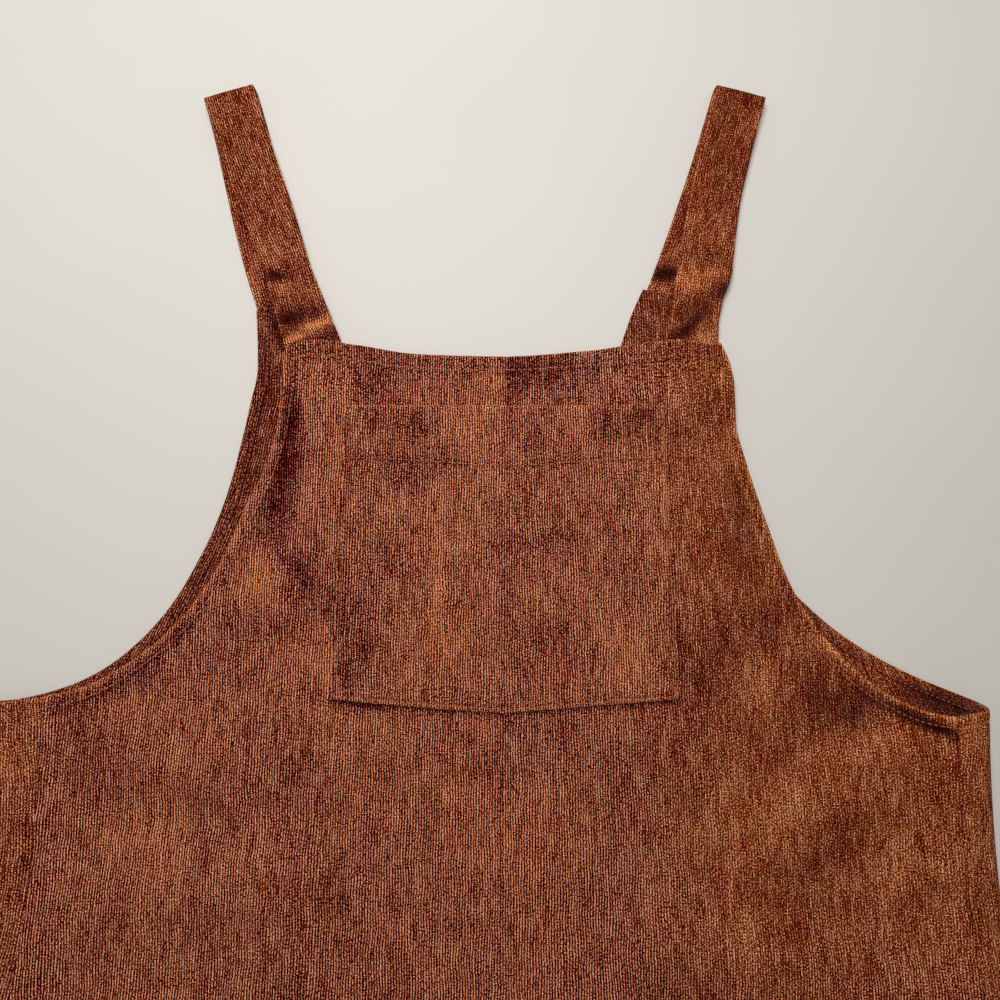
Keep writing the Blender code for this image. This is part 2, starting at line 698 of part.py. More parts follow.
def panel(name, surface, weights, finish, upwards):
    mesh = bmesh.new()
    add_grid(mesh, surface)
    return cloth_object(name, mesh, finish, CLOTH, upwards, weights.reshape(-1))


def outer_points(obj, shape):
    """The points of a finished panel's outer surface, in the cutting frame."""
    evaluated = obj.evaluated_get(bpy.context.evaluated_depsgraph_get())
    count = shape[0] * shape[1]
    points = np.array([tuple(vert.co) for vert in evaluated.data.vertices[:count]])
    return points.reshape(*shape, 3) / METRES + np.array([MIDDLE_X, MIDDLE_Y, 0.0])


def bib_pocket(fronts, shapes):
    """The patch pocket, made from the points of both front halves, moved out."""
    mesh = bmesh.new()
    weights = []
    rows = slice(POCKET_FIRST_ROW, POCKET_LAST_ROW + 1)
    columns = len(POCKET_COLUMNS)
    patches = [outer_points(fronts[side], shapes[side])[rows, :columns] for side in ("left", "right")]
    centre = (patches[0][:, 0] + patches[1][:, 0]) / 2.0
    for patch in patches:
        patch[:, 0] = centre
        patch[..., 2] += LAYER_GAP
        add_grid(mesh, patch)
        for row in FRONT_ROWS[rows]:
            weights += [row.pocket_hem] * columns
    layer = mesh.verts.layers.float.new("hem")
    mesh.verts.ensure_lookup_table()
    for vert, weight in zip(mesh.verts, weights):
        vert[layer] = weight
    for face in mesh.faces:
        face.normal_update()
        if face.normal.z < 0.0:
            face.normal_flip()
    bmesh.ops.remove_doubles(mesh, verts=mesh.verts, dist=0.00001)
    mesh.verts.ensure_lookup_table()
    kept = [vert[layer] for vert in mesh.verts]
    return cloth_object("bib_pocket", mesh, RUST_CORDUROY, CLOTH, True, kept)


def main():
    for obj in list(bpy.data.objects):
        bpy.data.objects.remove(obj)
    collection = bpy.data.collections.new("overalls")
    bpy.context.scene.collection.children.link(collection)
    fronts = {}
    shapes = {}
    for side in ("left", "right"):
        surface, weights = back_surface(side)
        panel("back_" + side, surface, weights, DEEP_CORDUROY, False)
        surface, weights = front_surface(side)
        fronts[side] = panel("front_" + side, surface, weights, RUST_CORDUROY, True)
        shapes[side] = surface.shape[:2]
        mesh = bmesh.new()
        add_grid(mesh, strap_surface(side))
        cloth_object("strap_" + side, mesh, RUST_CORDUROY, STRAP_WALL, False)
    bib_pocket(fronts, shapes)


main()
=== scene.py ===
"""Corduroy bib overalls, laid flat and face up on a pale table: cloth, sewing, light and camera.

Forms are in millimetres in the cutting frame: x runs to the right as the garment is seen, y runs up from
hem to shoulder, and z is the height above the table. The finished meshes are in metres, in the frame of
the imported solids. "out" is the distance outwards from x = 0, on either side. Each piece is one sheet of
cloth with two faces, made from its flat cut: the cut's points are laid over the folds, and the corduroy's
ribs follow the cut.
"""

import math
from collections import namedtuple

import bpy
import numpy as np
from bpy.props import FloatProperty, FloatVectorProperty, IntProperty, PointerProperty
from bpy.types import Operator, Panel, PropertyGroup
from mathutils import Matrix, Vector


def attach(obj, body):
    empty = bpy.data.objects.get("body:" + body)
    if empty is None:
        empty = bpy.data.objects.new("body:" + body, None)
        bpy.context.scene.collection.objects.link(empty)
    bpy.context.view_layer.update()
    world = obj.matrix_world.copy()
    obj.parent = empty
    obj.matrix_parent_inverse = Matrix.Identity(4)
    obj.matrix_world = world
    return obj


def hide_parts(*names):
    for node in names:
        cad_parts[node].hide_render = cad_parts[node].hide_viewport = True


bl_info = {
    "name": "Corduroy bib overalls",
    "version": (1, 0, 0),
    "blender": (4, 5, 0),
    "location": "View3D > Sidebar > Overalls",
    "description": "Corduroy bib overalls laid flat, with their sewing, a table, soft light and a camera",
    "category": "Object",
}

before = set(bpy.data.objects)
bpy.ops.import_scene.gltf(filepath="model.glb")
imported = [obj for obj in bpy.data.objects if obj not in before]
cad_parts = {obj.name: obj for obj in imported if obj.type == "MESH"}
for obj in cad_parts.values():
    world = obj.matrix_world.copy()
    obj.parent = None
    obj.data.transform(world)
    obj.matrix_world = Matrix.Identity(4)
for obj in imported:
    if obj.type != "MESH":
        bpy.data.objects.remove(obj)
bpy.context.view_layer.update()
BODY = "root"

METRES = 0.001

# The cloth and its seams.
CLOTH = 1.2
HEM_WALL = 2.0
STRAP_WALL = 2.4
SEAM_GAP = 0.04
LAYER_GAP = 0.3

# The middle of the finished garment's box, in the cutting frame.
MIDDLE_X = -5.35
MIDDLE_Y = -452.6

# Heights along the garment.
BIB_TOP_Y = 86.0
POCKET_TOP_Y = 55.8
CROTCH_Y = -510.0
LEG_HEM_Y = -1170.0
SHOULDER_Y = 256.0
ROWS_START_Y = -152.0
LOWER_START_Y = -195.0

# Turned hems and the strap.
BIB_HEM = 9.5
ARMHOLE_HEM = 6.5
HEM_STEP = 1.5
LEG_HEM = 25.0
STRAP_WIDTH = 31.0
STRAP_TAB_WIDTH = 35.0
STRAP_FOLD_RADIUS = 4.0
STRAP_TUCK = 26.0
STRAP_LIFT = 2.3
STRAP_DROP = 70.0
STRAP_CLEAR = 0.6
STRAP_RIDGE_FADE = 6.0
STRAP_SEAM_REACH = 0.28
STRAP_EDGE_ROUNDING = 0.48
STRAP_BACK_ROWS = 64
STRAP_TURN_ROWS = 16
STRAP_FRONT_ROWS = 90
STRAP_TUCK_ROWS = 10

# Relief of the sewing, the share of the wall over which a finished edge is rounded, and the thread's place.
SEAM_GROOVE = 0.34
STITCH_GROOVE = 0.3
ALLOWANCE_RELIEF = 0.16
PUCKER_RELIEF = 0.2
EDGE_ROUNDING = 0.45
THREAD_LIFT = 0.12
POCKET_HEM_THREAD_LIFT = 0.45

# The fold along the inside of each leg.
INSEAM_RADIUS = 3.5
INSEAM_RETURN = 5.0
INSEAM_SOFTNESS = 30.0
FLAT_CURL = 6.4
LEAST_CURL = 0.001
CROTCH_LEAD = 25.0
CROTCH_FADE = 60.0

# How far the height of a side fold spreads over the front: a base, and a share of its radius.
ROLL_SPREAD = 28.0
ROLL_SPREAD_PER_RADIUS = 1.4
ROLL_LEAD = 30.0
LIFT_FADE = 40.0

# The slight unevenness of cloth that lies on cloth, and how softly its troughs meet what they rest on.
BROAD_UNEVENNESS = 0.28
FINE_UNEVENNESS = 0.2
TROUGH_SOFTNESS = 0.6

# Where the straps lift the top of the bib.
BIB_LIFT = 2.7
BIB_LIFT_HALF_WIDTH = 34.0
BIB_LIFT_FADE = 26.0
BIB_LIFT_FROM_Y = 34.0
BIB_LIFT_TO_Y = 62.0

Point = namedtuple("Point", "out y")
Line = namedtuple("Line", "y x")
Roll = namedtuple("Roll", "y apex radius seam_return")
FrontRow = namedtuple("FrontRow", "centre_y pocket_y along")
Strap = namedtuple("Strap", "tab tab_lean fold fold_lean bib bib_lean")
Pull = namedtuple("Pull", "x half_width height")
Corner = namedtuple("Corner", "out reach drop power")
Pinch = namedtuple("Pinch", "y left right")
Fold = namedtuple("Fold", "x0 y0 x1 y1 bow half_width height")
Patch = namedtuple("Patch", "x y across upright turn tone")
Cloth = namedtuple("Cloth", "flat points normals")


def entries(kind, *table):
    """A table of numbers, as entries of this kind."""
    return tuple(kind(*numbers) for numbers in table)


SIDES = ("left", "right")

CENTRE_FRONT = (Line(86, 4.7), Line(-128, 1.6), Line(-510, -3.0))
CENTRE_BACK = (Line(22, -12.0), Line(-150, -9.0), Line(-510, -3.0))
CENTRE_BACK_X = -12.0

LEG_INSIDE = {
    "left": (Point(3.0, -510), Point(14, -760), Point(26, -980), Point(38, -1170)),
    "right": (Point(-3.0, -510), Point(10, -760), Point(20, -980), Point(30, -1170)),
}

SIDE_ROLLS = {
    "left": entries(
        Roll,
        (-109, 280, 4.5, 25.7), (-200, 276, 4.8, 24), (-320, 285, 5.2, 21), (-430, 295, 5.0, 18),
        (-540, 297, 4.5, 16), (-760, 289, 4.2, 14), (-980, 278, 4.0, 13), (-1170, 268, 4.0, 12),
    ),
    "right": entries(
        Roll,
        (-109, 264, 8.5, 11.5), (-150, 261.5, 7.5, 11.5), (-200, 261, 6.3, 12), (-320, 271, 5.2, 12),
        (-430, 283, 5.0, 12), (-540, 286, 4.5, 12), (-760, 281, 4.2, 12), (-980, 272, 4.0, 12),
        (-1170, 264, 4.0, 12),
    ),
}

FRONT_ARMHOLE = {
    "left": entries(
        Point,
        (128.4, 89.0), (127.0, 71.2), (128.5, 53.0), (134.6, 23.3), (148.2, -10.4), (160.5, -40.4),
        (175.2, -64.2), (203.8, -89.8), (227.4, -103.2),
    ),
    "right": entries(
        Point,
        (130.0, 91.5), (134.3, 83.5), (136.4, 74.2), (136.8, 59.0), (137.4, 43.0), (141.2, 26.2),
        (151.9, -12.6), (166.6, -55.4), (182.0, -81.0), (199.5, -98.5), (217.0, -110.4), (230.2, -116.2),
    ),
}

BACK_ARMHOLE = {
    "left": entries(
        Point,
        (146.3, 115.7), (144.0, 88.0), (143.7, 76.0), (146.5, 59.5), (149.4, 41.5), (158.3, 0.0),
        (164.7, -19.0), (171.9, -35.6), (188.6, -64.2), (202.3, -79.9), (216.5, -91.9), (229.0, -99.3),
        (247.0, -106.2), (262.0, -109.8), (275.6, -111.5), (289.6, -112.0),
    ),
    "right": entries(
        Point,
        (121.5, 115.7), (118.5, 72.6), (122.0, 42.0), (133.5, 0.0), (147.5, -31.0), (165.0, -51.5),
        (172.9, -59.7), (187.7, -73.1), (206.8, -86.2), (232.4, -99.5), (245.6, -105.0), (256.5, -109.3),
        (268.9, -113.6), (281.0, -116.0),
    ),
}
UNDERARM_Y = {"left": -109.1, "right": -118.4}
UNDERARM_EASE = 0.8

BACK_NECKLINE = entries(
    Point,
    (98.3, 129.6), (91.5, 114.6), (84.0, 94.3), (75.0, 72.0), (62.0, 50.0), (43.0, 33.0), (22.0, 25.0),
    (0.15, 22.0),
)

# Where a front half's rows cross the centre front and the pocket's side line, and how far along the
# armhole they end.
FRONT_ROWS = entries(
    FrontRow,
    (86.0, 86.0, 0.000), (76.5, 76.5, 0.038), (75.0, 75.0, 0.045), (65.5, 65.5, 0.088), (55.8, 55.8, 0.135),
    (40.5, 40.5, 0.200), (25.5, 25.5, 0.262), (24.0, 24.0, 0.269), (6.0, 6.0, 0.345), (-14.0, -14.0, 0.430),
    (-34.0, -34.0, 0.518), (-54.0, -54.0, 0.605), (-75.0, -74.0, 0.697), (-96.5, -93.0, 0.790),
    (-117.0, -109.5, 0.874), (-134.0, -128.0, 0.940), (ROWS_START_Y, -147.0, 1.000),
)
POCKET_BOTTOM_Y = -118.0
POCKET_CORNER_Y = -110.6
POCKET_SAG = 0.4
POCKET_HALF_WIDTH = 92.0
POCKET_HEM_Y = 25.0
POCKET_HEM_DIP = 5.0
POCKET_LIFT = 0.12

POCKET_SIDE = {
    "left": (Point(89.4, 90), Point(89.6, 55.4), Point(91.5, -34.2), Point(93.2, -110), Point(94, -152)),
    "right": (Point(96.0, 90), Point(96.2, 55.4), Point(97.4, 13.4), Point(98.6, -110), Point(99, -152)),
}

# The rows of a back half: how far along the neckline and centre back together, and along the armhole.
BACK_ROWS_INNER = (
    0, 0.06, 0.125, 0.19, 0.255, 0.32, 0.385, 0.45, 0.52, 0.59, 0.66, 0.73, 0.8, 0.86, 0.91, 0.955, 1,
)
BACK_ROWS_OUTER = (
    0, 0.055, 0.115, 0.18, 0.245, 0.31, 0.375, 0.44, 0.505, 0.57, 0.635, 0.7, 0.765, 0.83, 0.89, 0.945, 1,
)
ROW_LEVELLING = 200.0
EDGE_STEP = 0.004
SEAM_LEAD = 0.06

STRAPS = {
    "left": Strap((-129.3, 122.6), -21.2, (-169.0, SHOULDER_Y), -18.0, (-114.7, 100.0), -17.5),
    "right": Strap((105.0, 122.6), 21.5, (150.0, SHOULDER_Y), 16.0, (115.2, 101.0), 8.0),
}

# How the straps pull the top of the bib up, and how far its corners hang below that line.
BIB_PULLS = {
    "left": (Pull(-104, 42, 8.0), Pull(-30, 30, 0.7)),
    "right": (Pull(106, 42, 9.5), Pull(48, 30, 2.1)),
}
BIB_CORNERS = {"left": Corner(100.0, 27.5, 6.9, 2.6), "right": Corner(102.0, 30.5, 5.4, 1.6)}

# How far the left and right edges of a strap's front run lie beside a straight band, from the bib upwards.
STRAP_PINCHES = {
    "left": entries(
        Pinch,
        (60, 0.8, 2.9), (100, 0.8, 2.6), (120, 1.2, 0.5), (142, 2.0, -1.5), (185, 0, 0),
    ),
    "right": entries(
        Pinch,
        (60, 1.0, 0.0), (94, 1.0, -0.2), (101.6, 1.0, -1.1), (109, 0.9, -1.7), (116.6, 0.8, -0.9),
        (124, 0.7, -0.4), (131.7, 0.6, 1.9), (139.4, 0.6, 2.7), (155, 0.4, 1.6), (185, 0.0, 0.0),
    ),
}

# The largest soft folds, which the solids have too: ridges between two points, bowed sideways.
FOLDS = entries(
    Fold,
    (-104, 66, -112, -55, -6, 14, 2.4), (-205, -98, -98, -48, 8, 17, 3.2),
    (-240, -128, -100, -142, -10, 18, 3.4), (112, 60, 120, -66, 6, 14, 2.0),
    (222, -122, 112, -62, -8, 19, 3.2), (238, -150, 110, -215, -12, 22, 5.0),
    (-60, 30, 40, -70, 12, 22, 1.4), (-258, -235, -60, -205, 14, 21, 5.0),
    (242, -275, 48, -240, -12, 22, 4.6), (22, -140, 44, -400, 12, 22, 4.2),
    (-120, -170, -78, -420, -16, 24, 4.4), (150, -250, 128, -470, 10, 22, 3.8),
    (-226, -330, -128, -600, 20, 26, 6.2), (214, -350, 118, -620, -18, 26, 5.8),
    (-18, -470, -170, -395, 10, 20, 4.6), (16, -478, 168, -410, -10, 20, 4.4),
    (-40, -560, -206, -690, -14, 24, 5.4), (44, -600, 214, -720, 14, 24, 5.0),
    (-232, -700, -70, -850, 12, 24, 5.0), (226, -760, 70, -890, -12, 24, 5.2),
    (-120, -800, -158, -1120, 10, 24, 4.8), (112, -900, 160, -1140, -10, 24, 4.6),
    (-212, -900, -222, -1110, -8, 20, 3.6), (228, -880, 214, -1060, 8, 20, 3.4),
)

# The smaller creases of the front, one by one: ridges, and troughs where the height is negative.
CREASES = entries(
    Fold,
    # Bib and armholes, left half.
    (-117, 92, -132, 10, 3, 6, -1.9), (-131, 18, -108, -30, -3, 7, -1.7),
    (-110, -28, -97, -104, 2, 7, -2.0), (-103, 74, -101, -4, -2, 6, 1.1), (-150, -22, -118, -66, 4, 8, 1.6),
    (-168, -70, -92, -84, -3, 7, -1.7), (-162, -92, -104, -98, 3, 9, 1.2),
    (-242, -110, -168, -84, -4, 8, 1.5), (-228, -122, -150, -104, 4, 8, -1.2),
    (-248, -106, -243, -132, 0, 3.5, 1.6), (-240, -112, -236, -134, 0, 3.0, -1.0),
    (-212, -134, -122, -162, -6, 12, 1.5),
    # Bib and armholes, right half.
    (112, 84, 124, 48, -2, 8, -0.9), (128, 20, 124, -44, 3, 8, 1.0), (126, -52, 130, -130, -3, 9, -1.5),
    (147, -74, 150, -136, 3, 10, 1.6), (164, -66, 198, -98, 2, 6, 1.7), (176, -92, 216, -134, -4, 8, -1.7),
    (190, -104, 242, -130, 3, 5, -1.8), (200, -97, 250, -121, 3, 5, 1.2),
    (236, -134, 168, -152, -5, 9, 1.6),
    # Between bib and hips.
    (-252, -166, -150, -188, -6, 10, 1.8), (-262, -196, -182, -176, 4, 8, -1.4),
    (-70, -168, -12, -232, 8, 12, 1.5), (-196, -232, -150, -330, -9, 12, 2.0),
    (-90, -246, -20, -300, 8, 11, -1.6), (252, -182, 176, -214, 7, 10, 1.9),
    (210, -230, 252, -318, -8, 11, 1.7), (96, -176, 70, -262, 6, 12, 1.6),
    (40, -268, 100, -330, -7, 11, 1.6), (186, -300, 160, -380, 6, 10, -1.7),
    (-240, -350, -176, -392, 6, 10, 1.9), (-60, -330, -34, -432, -6, 11, 1.8),
    (70, -360, 92, -450, 6, 11, 1.7),
    # From the crotch.
    (-12, -486, -96, -452, 5, 9, -1.7), (12, -492, 104, -462, -5, 9, -1.6),
    (-16, -520, -112, -530, 7, 10, 1.9), (18, -524, 118, -548, -7, 10, 1.8),
    (-22, -556, -92, -604, 5, 9, -1.5), (24, -566, 88, -622, -5, 9, -1.4),
    # Legs.
    (-262, -452, -200, -520, 7, 12, 2.0), (260, -470, 196, -530, -7, 12, 1.9),
    (-96, -640, -60, -760, 7, 12, 1.8), (-250, -610, -180, -668, -7, 11, 1.7),
    (100, -660, 66, -780, -8, 12, 1.8), (252, -620, 186, -690, 7, 11, 1.7),
    (-190, -742, -130, -806, 6, 10, -1.6), (188, -770, 128, -836, -6, 10, -1.6),
    (-244, -806, -150, -858, -8, 11, 1.9), (240, -822, 160, -880, 8, 11, 1.8),
    (-84, -872, -60, -990, -6, 11, 1.6), (76, -920, 60, -1040, 6, 11, 1.6),
    (-182, -920, -196, -1040, 7, 11, 1.7), (184, -940, 196, -1064, -7, 11, 1.7),
    (-104, -1040, -96, -1150, 4, 10, 1.4), (-236, -1070, -226, -1160, -4, 9, 1.4),
    (104, -1066, 96, -1156, -4, 10, 1.4), (232, -1074, 224, -1162, 4, 9, 1.4),
)

# The creases of the back, which lies on the table: it can only lift off it.
BACK_LIFTS = entries(
    Fold,
    (-150, 60, -166, -60, -6, 12, 1.1), (130, 50, 148, -60, 6, 12, 1.1), (-60, 10, -30, -120, 8, 16, 1.2),
    (34, 6, 22, -130, -8, 16, 1.1), (-206, -170, -70, -140, 10, 16, 1.4),
    (206, -180, 66, -150, -10, 16, 1.3), (-190, -250, -120, -400, 12, 18, 1.5),
    (190, -260, 116, -410, -12, 18, 1.5), (-24, -470, -150, -420, 8, 14, 1.5),
    (22, -470, 146, -424, -8, 14, 1.5), (-40, -560, -190, -640, -10, 16, 1.5),
    (44, -570, 186, -660, 10, 16, 1.5), (-220, -700, -90, -800, 10, 16, 1.5),
    (214, -720, 90, -830, -10, 16, 1.5), (-130, -860, -160, -1080, 8, 18, 1.4),
    (124, -880, 158, -1090, -8, 18, 1.4),
)

# The ridges and troughs across the front runs of the straps.
STRAP_FOLDS = entries(
    Fold,
    (-136, 95, -90, 109, 0, 4.6, 4.4), (-132, 90, -92, 101, 0, 3.0, -0.7),
    (-146, 122, -104, 116, 0, 9, 1.6), (-152, 146, -112, 150, 0, 8, 1.0), (96, 116, 144, 138, 0, 8, 2.7),
    (96, 98, 136, 120, 0, 4, -0.8), (98, 100, 140, 104, 0, 6, 1.5), (108, 150, 150, 156, 0, 9, 1.2),
)

# Soft creases of the pocket's own cloth.
POCKET_CREASES = entries(
    Fold,
    (-82, -4, -44, 18, 2, 4, 0.9), (-72, -16, -30, 6, 2, 4, 0.7), (-70, 44, -40, 24, -2, 6, -0.6),
    (-34, -20, -30, -86, 3, 6, 0.8), (12, 40, 2, -10, 3, 7, 0.7), (40, 10, 70, -40, -3, 8, 0.6),
    (84, -52, 40, -96, 3, 7, 0.8), (-60, -60, -52, -104, -2, 6, -0.6),
)

# Soft patches that make the pile lighter or darker: partly where the pile lies another way, partly painted
# light and painted shade of folds and edges, and painted shadows such as those under the pocket's lower edge
# and beside its left and right edges.
FRONT_NAP_AND_PAINTED_LIGHT = {
    "left": entries(
        Patch,
        (-4, 70, 9, 14, 0, 0.4), (-77, 69, 10, 12.2, 0, -0.95), (-50, 76, 17, 10, 0, -0.55),
        (-29, 69, 10.9, 9, 0, -0.35), (-7, -125, 18.5, 6.3, 0, 0.5), (-111, 70, 7, 14.7, 0, 0.4),
        (-121, 56, 5.8, 19.5, -3, -0.9), (-121, 31, 8.7, 20.3, -6, -1.4), (-125, 9, 10.3, 17.6, -10, -1.4),
        (-128, -10, 10.8, 12.7, -10, -1), (-120, -32, 6.2, 13.6, 38, -0.8), (-105, -48, 7.3, 14.6, 44, -1),
        (-92, -69, 6.7, 14.4, 30, -0.7), (-96, 35, 5.8, 28.8, 0, 0.6), (-89, -11, 4.6, 17.3, 0, -0.2),
        (-133, -49, 8.4, 15.8, 10, 0.9), (-143, -56, 7.8, 13.4, 0, 0.3), (-107, -94, 14.3, 25, 0, 0.5),
        (-95, -105, 3.8, 21.5, 0, 0.5), (-174, -69, 15.6, 6.1, 57, -1.2), (-194, -92, 16.5, 5.4, 38, -0.8),
        (-214, -103, 12.1, 4.3, 22, -0.6), (-155, -34, 5.6, 14.7, 20, -0.4),
        (-191, -117, 21.8, 6.4, 10, 0.1), (-136, -126, 9.8, 5.3, 0, -0.4), (-75, -114, 16.4, 3.2, -10, -1),
        (-255, -122, 4.4, 9.5, 0, -1), (-244, -120, 3.3, 7.4, 0, 0.7), (-236, -125, 2.2, 4.2, 0, -1),
        (-268, -117, 6.6, 6.4, 0, -0.3), (-227, -117, 9.8, 10.6, 0, -0.2), (-201, -95, 16.4, 9, 30, -0.8),
        (-157, -53, 7.7, 16.9, 10, -0.35), (-159, -91, 12, 10.2, 0, -0.3), (-244, -111, 18, 7.5, 0, -0.75),
    ),
    "right": entries(
        Patch,
        (9, 74, 16.4, 14.8, 0, -0.75), (44, 78, 34, 11, 4, -0.65), (8, -126, 12, 6.3, 0, -0.6),
        (111, 72, 21.1, 14.7, 0, 0.25), (139, -14, 12.5, 34.8, 14, -0.5), (150, -72, 7.8, 13.2, -10, -0.8),
        (162, -56, 4.5, 16.7, 16, -0.7), (111, -96, 12.1, 19.5, 0, -0.55), (147, -103, 11, 18.3, 0, 0.45),
        (131, -76, 18.6, 24.9, 0, -0.35), (188, -117, 14.2, 10.2, 0, -0.45), (179, -81, 6.6, 3.8, -35, 0.9),
        (173, -110, 6.6, 16.1, 0, -0.6), (106, -56, 5.6, 28, 0, -0.05), (214, -105, 25.2, 3.7, -33, 0.7),
        (248, -119, 12, 3.7, -18, 0.2), (221, -118, 24, 4.2, -25, -1.6), (242, -127, 14.1, 2.6, -15, -1.2),
        (193, -119, 13, 11, -15, -0.7), (128, -56, 13.1, 25.4, 0, -0.25), (104, 54, 10.9, 13.6, 0, 0.3),
        (99.6, -82, 1.3, 27, 1, -1.3),
    ),
}
POCKET_NAP_AND_PAINTED_LIGHT = entries(
    Patch,
    (-71, 47, 11.6, 8.4, 0, -0.35), (-46, 43, 10.4, 10.8, 0, -0.8), (-58, 13, 19.4, 11.7, -10, -0.4),
    (-66, 7, 11.4, 2.9, -45, 0.35), (-21, 47, 11.6, 15.6, 0, 0.5), (-5, 22, 13.8, 16.5, -10, 0.45),
    (-42, 21, 17, 11, 0, -0.8), (24, -30, 19.7, 22.6, 0, -0.3), (23, 35, 6.9, 20.3, 0, -0.5),
    (60, 42, 8.1, 11.9, 0, -0.7), (43, 44, 6.9, 18, 0, 0.4), (-35, -43, 4.5, 36.8, 0, 0.7),
    (-28, -78, 11, 13.6, 0, 0.5), (-67, -59, 14.2, 24.9, 0, -0.4), (3, -51, 3.9, 25.2, 0, -0.5),
    (14, -76, 9.9, 5.4, -30, -0.4), (8, -95, 7.7, 21.6, 0, -0.3), (67, -89, 12.1, 18.4, 0, 0.6),
    (94, 16, 1.9, 33, 0, 0.9), (-65, -26, 9, 7.9, 0, -0.4), (28, -23, 16.9, 8, 0, -0.3),
    (-86, -78, 3.9, 38.6, 2, -0.9), (-75, -84, 5, 13, 0, -0.9), (-80, -99, 8.8, 9.6, 0, -0.5),
    (-75, -51, 7.8, 22.4, 0, -0.3), (54, -34, 4.5, 34.1, 0, 0.3),
)
# Inside the armhole facing: painted shade, and a thin painted dark line where the front's edge shades the
# band.
BAND_NAP_AND_PAINTED_LIGHT = {
    "left": entries(
        Patch,
        (-133, 104, 2.2, 18, 17, -1.0), (-138, 60, 14, 60, 8, -0.3), (-158, -14, 9, 26, 22, -0.25),
        (-142, 80, 7, 30, 0, -0.2),
    ),
    "right": entries(
        Patch,
        (205, -92, 40, 14, -30, 0.6), (236, -110, 22, 4.5, -25, -0.9), (183, -85, 10, 4, -48, -0.9),
        (212, -98, 18, 4, -27, 0.3),
    ),
}
# Front runs of the straps: a painted light band on each fold ridge, painted shade beside it and a dark
# painted crescent where the strap meets the bib.
STRAP_NAP_AND_PAINTED_LIGHT = {
    "left": entries(
        Patch,
        (-116, 100, 16, 2.9, 25, 3.0), (-114, 113, 18, 7, 18, -0.9), (-126, 108, 6.5, 4.6, 20, -1.1),
        (-111, 95.6, 15, 1.9, 8, -1.9), (-131.2, 128.6, 7, 4, -20, 0.6), (-136, 136, 8, 4.5, 10, -1.6),
    ),
    "right": entries(
        Patch,
        (112, 104, 16, 3.6, 40, -1.7), (121, 98, 9, 4.5, 20, 1.0), (134, 125, 6, 4.5, 40, -1.0),
        (131, 119, 5, 4, 30, 0.6), (110, 133, 14, 13, 0, 0.65), (130, 138, 8, 3, 0, 0.9),
    ),
}
# Back runs of the straps: painted shadow of the front run along its edge, and painted shade of a fold under
# it.
STRAP_BACK_NAP_AND_PAINTED_LIGHT = {
    "left": (Patch(-151, 130, 8, 12, -20, 0.5), Patch(-139, 122, 2.2, 24, 17, -1.0)),
    "right": (Patch(99, 139, 10, 4.5, 10, -2.0), Patch(97, 130, 10, 4, 10, 0.6)),
}

# Distances from a finished edge at which the cloth's columns lie, and across a turned hem.
EDGE_STEPS = (0.0, 0.15, 0.4, 0.8, 1.3, 2.2, 3.4)
HEM_STEPS = (8.0, 7.2, 6.6, 6.0, 5.4, 4.5, 3.4, 2.2, 1.3, 0.8, 0.4, 0.15, 0.0)
TOP_STEPS = (*EDGE_STEPS, 4.8, 6.2, 7.2, 7.8, 8.3, 8.8, 9.5, 10.2, 11.0)
LEG_STEPS = (30.0, 27.0, 26.2, 25.0, 23.6, 22.6, 22.0, 21.4, 20.0, 16.0, 12.0, 8.0, 5.0, *EDGE_STEPS[::-1])
BIB_STITCH = 8.3
ARMHOLE_STITCH = 6.0
ARMHOLE_SINK = 0.22
POCKET_STITCH = 2.2
LEG_STITCH = 22.0
FACING_WIDTH = 45.0
FACING_TOP_Y = 60.0
FACING_LEAN_STATIONS = (-130.0, -60.0, 0.0, 50.0, 80.0, 120.0)
FACING_LEANS = (0.0, 0.0, 11.0, 29.0, 42.0, 60.0)
SEAM_ALLOWANCE = 10.0
TRANSITION_ROWS = 9
FRONT_UPPER_ROWS = 104
BACK_UPPER_ROWS = 150
FAR = 1000.0

# Shares of the way across a front half: from the centre to the pocket's side line, and on to the hem.
TO_POCKET = np.concatenate([np.array(EDGE_STEPS) / POCKET_HALF_WIDTH, np.linspace(0.06, 1.0, 38)])
TO_HEM = np.linspace(0.0, 1.0, 50)[1:-1]

# How much of the pile is crushed flat on the backs, the pocket and the straps, and the part of the front
# where most of it is.
BACK_CRUSHED = 0.55
POCKET_CRUSHED = 0.15
STRAP_CRUSHED = 0.72
CRUSHED_SHARE = 0.95
CRUSHED_FROM_X = 54.0
CRUSHED_FADE_X = 80.0
CRUSHED_FROM_Y = -330.0
CRUSHED_FADE_Y = 120.0

# Painted shading: how much lighter the pile is painted where a surface looks towards the lamp, and darker
# where it looks away, and where the lamp is.
PAINTED_SHADING_CONTRAST = 1.1
LAMP_SIDE = (-0.66, 0.75)

# The stage, in metres: half the table's width, how far it lies below the cloth, and the lamp's width.
TABLE_HALF = 4.0
TABLE_DROP = 0.0003
LAMP_WIDTH = 0.5
LAMP_TINT = (1.0, 0.985, 0.955)
NEAREST_SEEN = 0.01
SENSOR_WIDTH_MM = 36.0

made = {}


def side_by_side(*parts):
    """Arrays side by side: points from their coordinates, or faces from their corners."""
    return np.stack(parts, axis=-1)


def smooth(share):
    """A soft step from 0 to 1."""
    share = np.clip(share, 0.0, 1.0)
    return share * share * (3.0 - 2.0 * share)


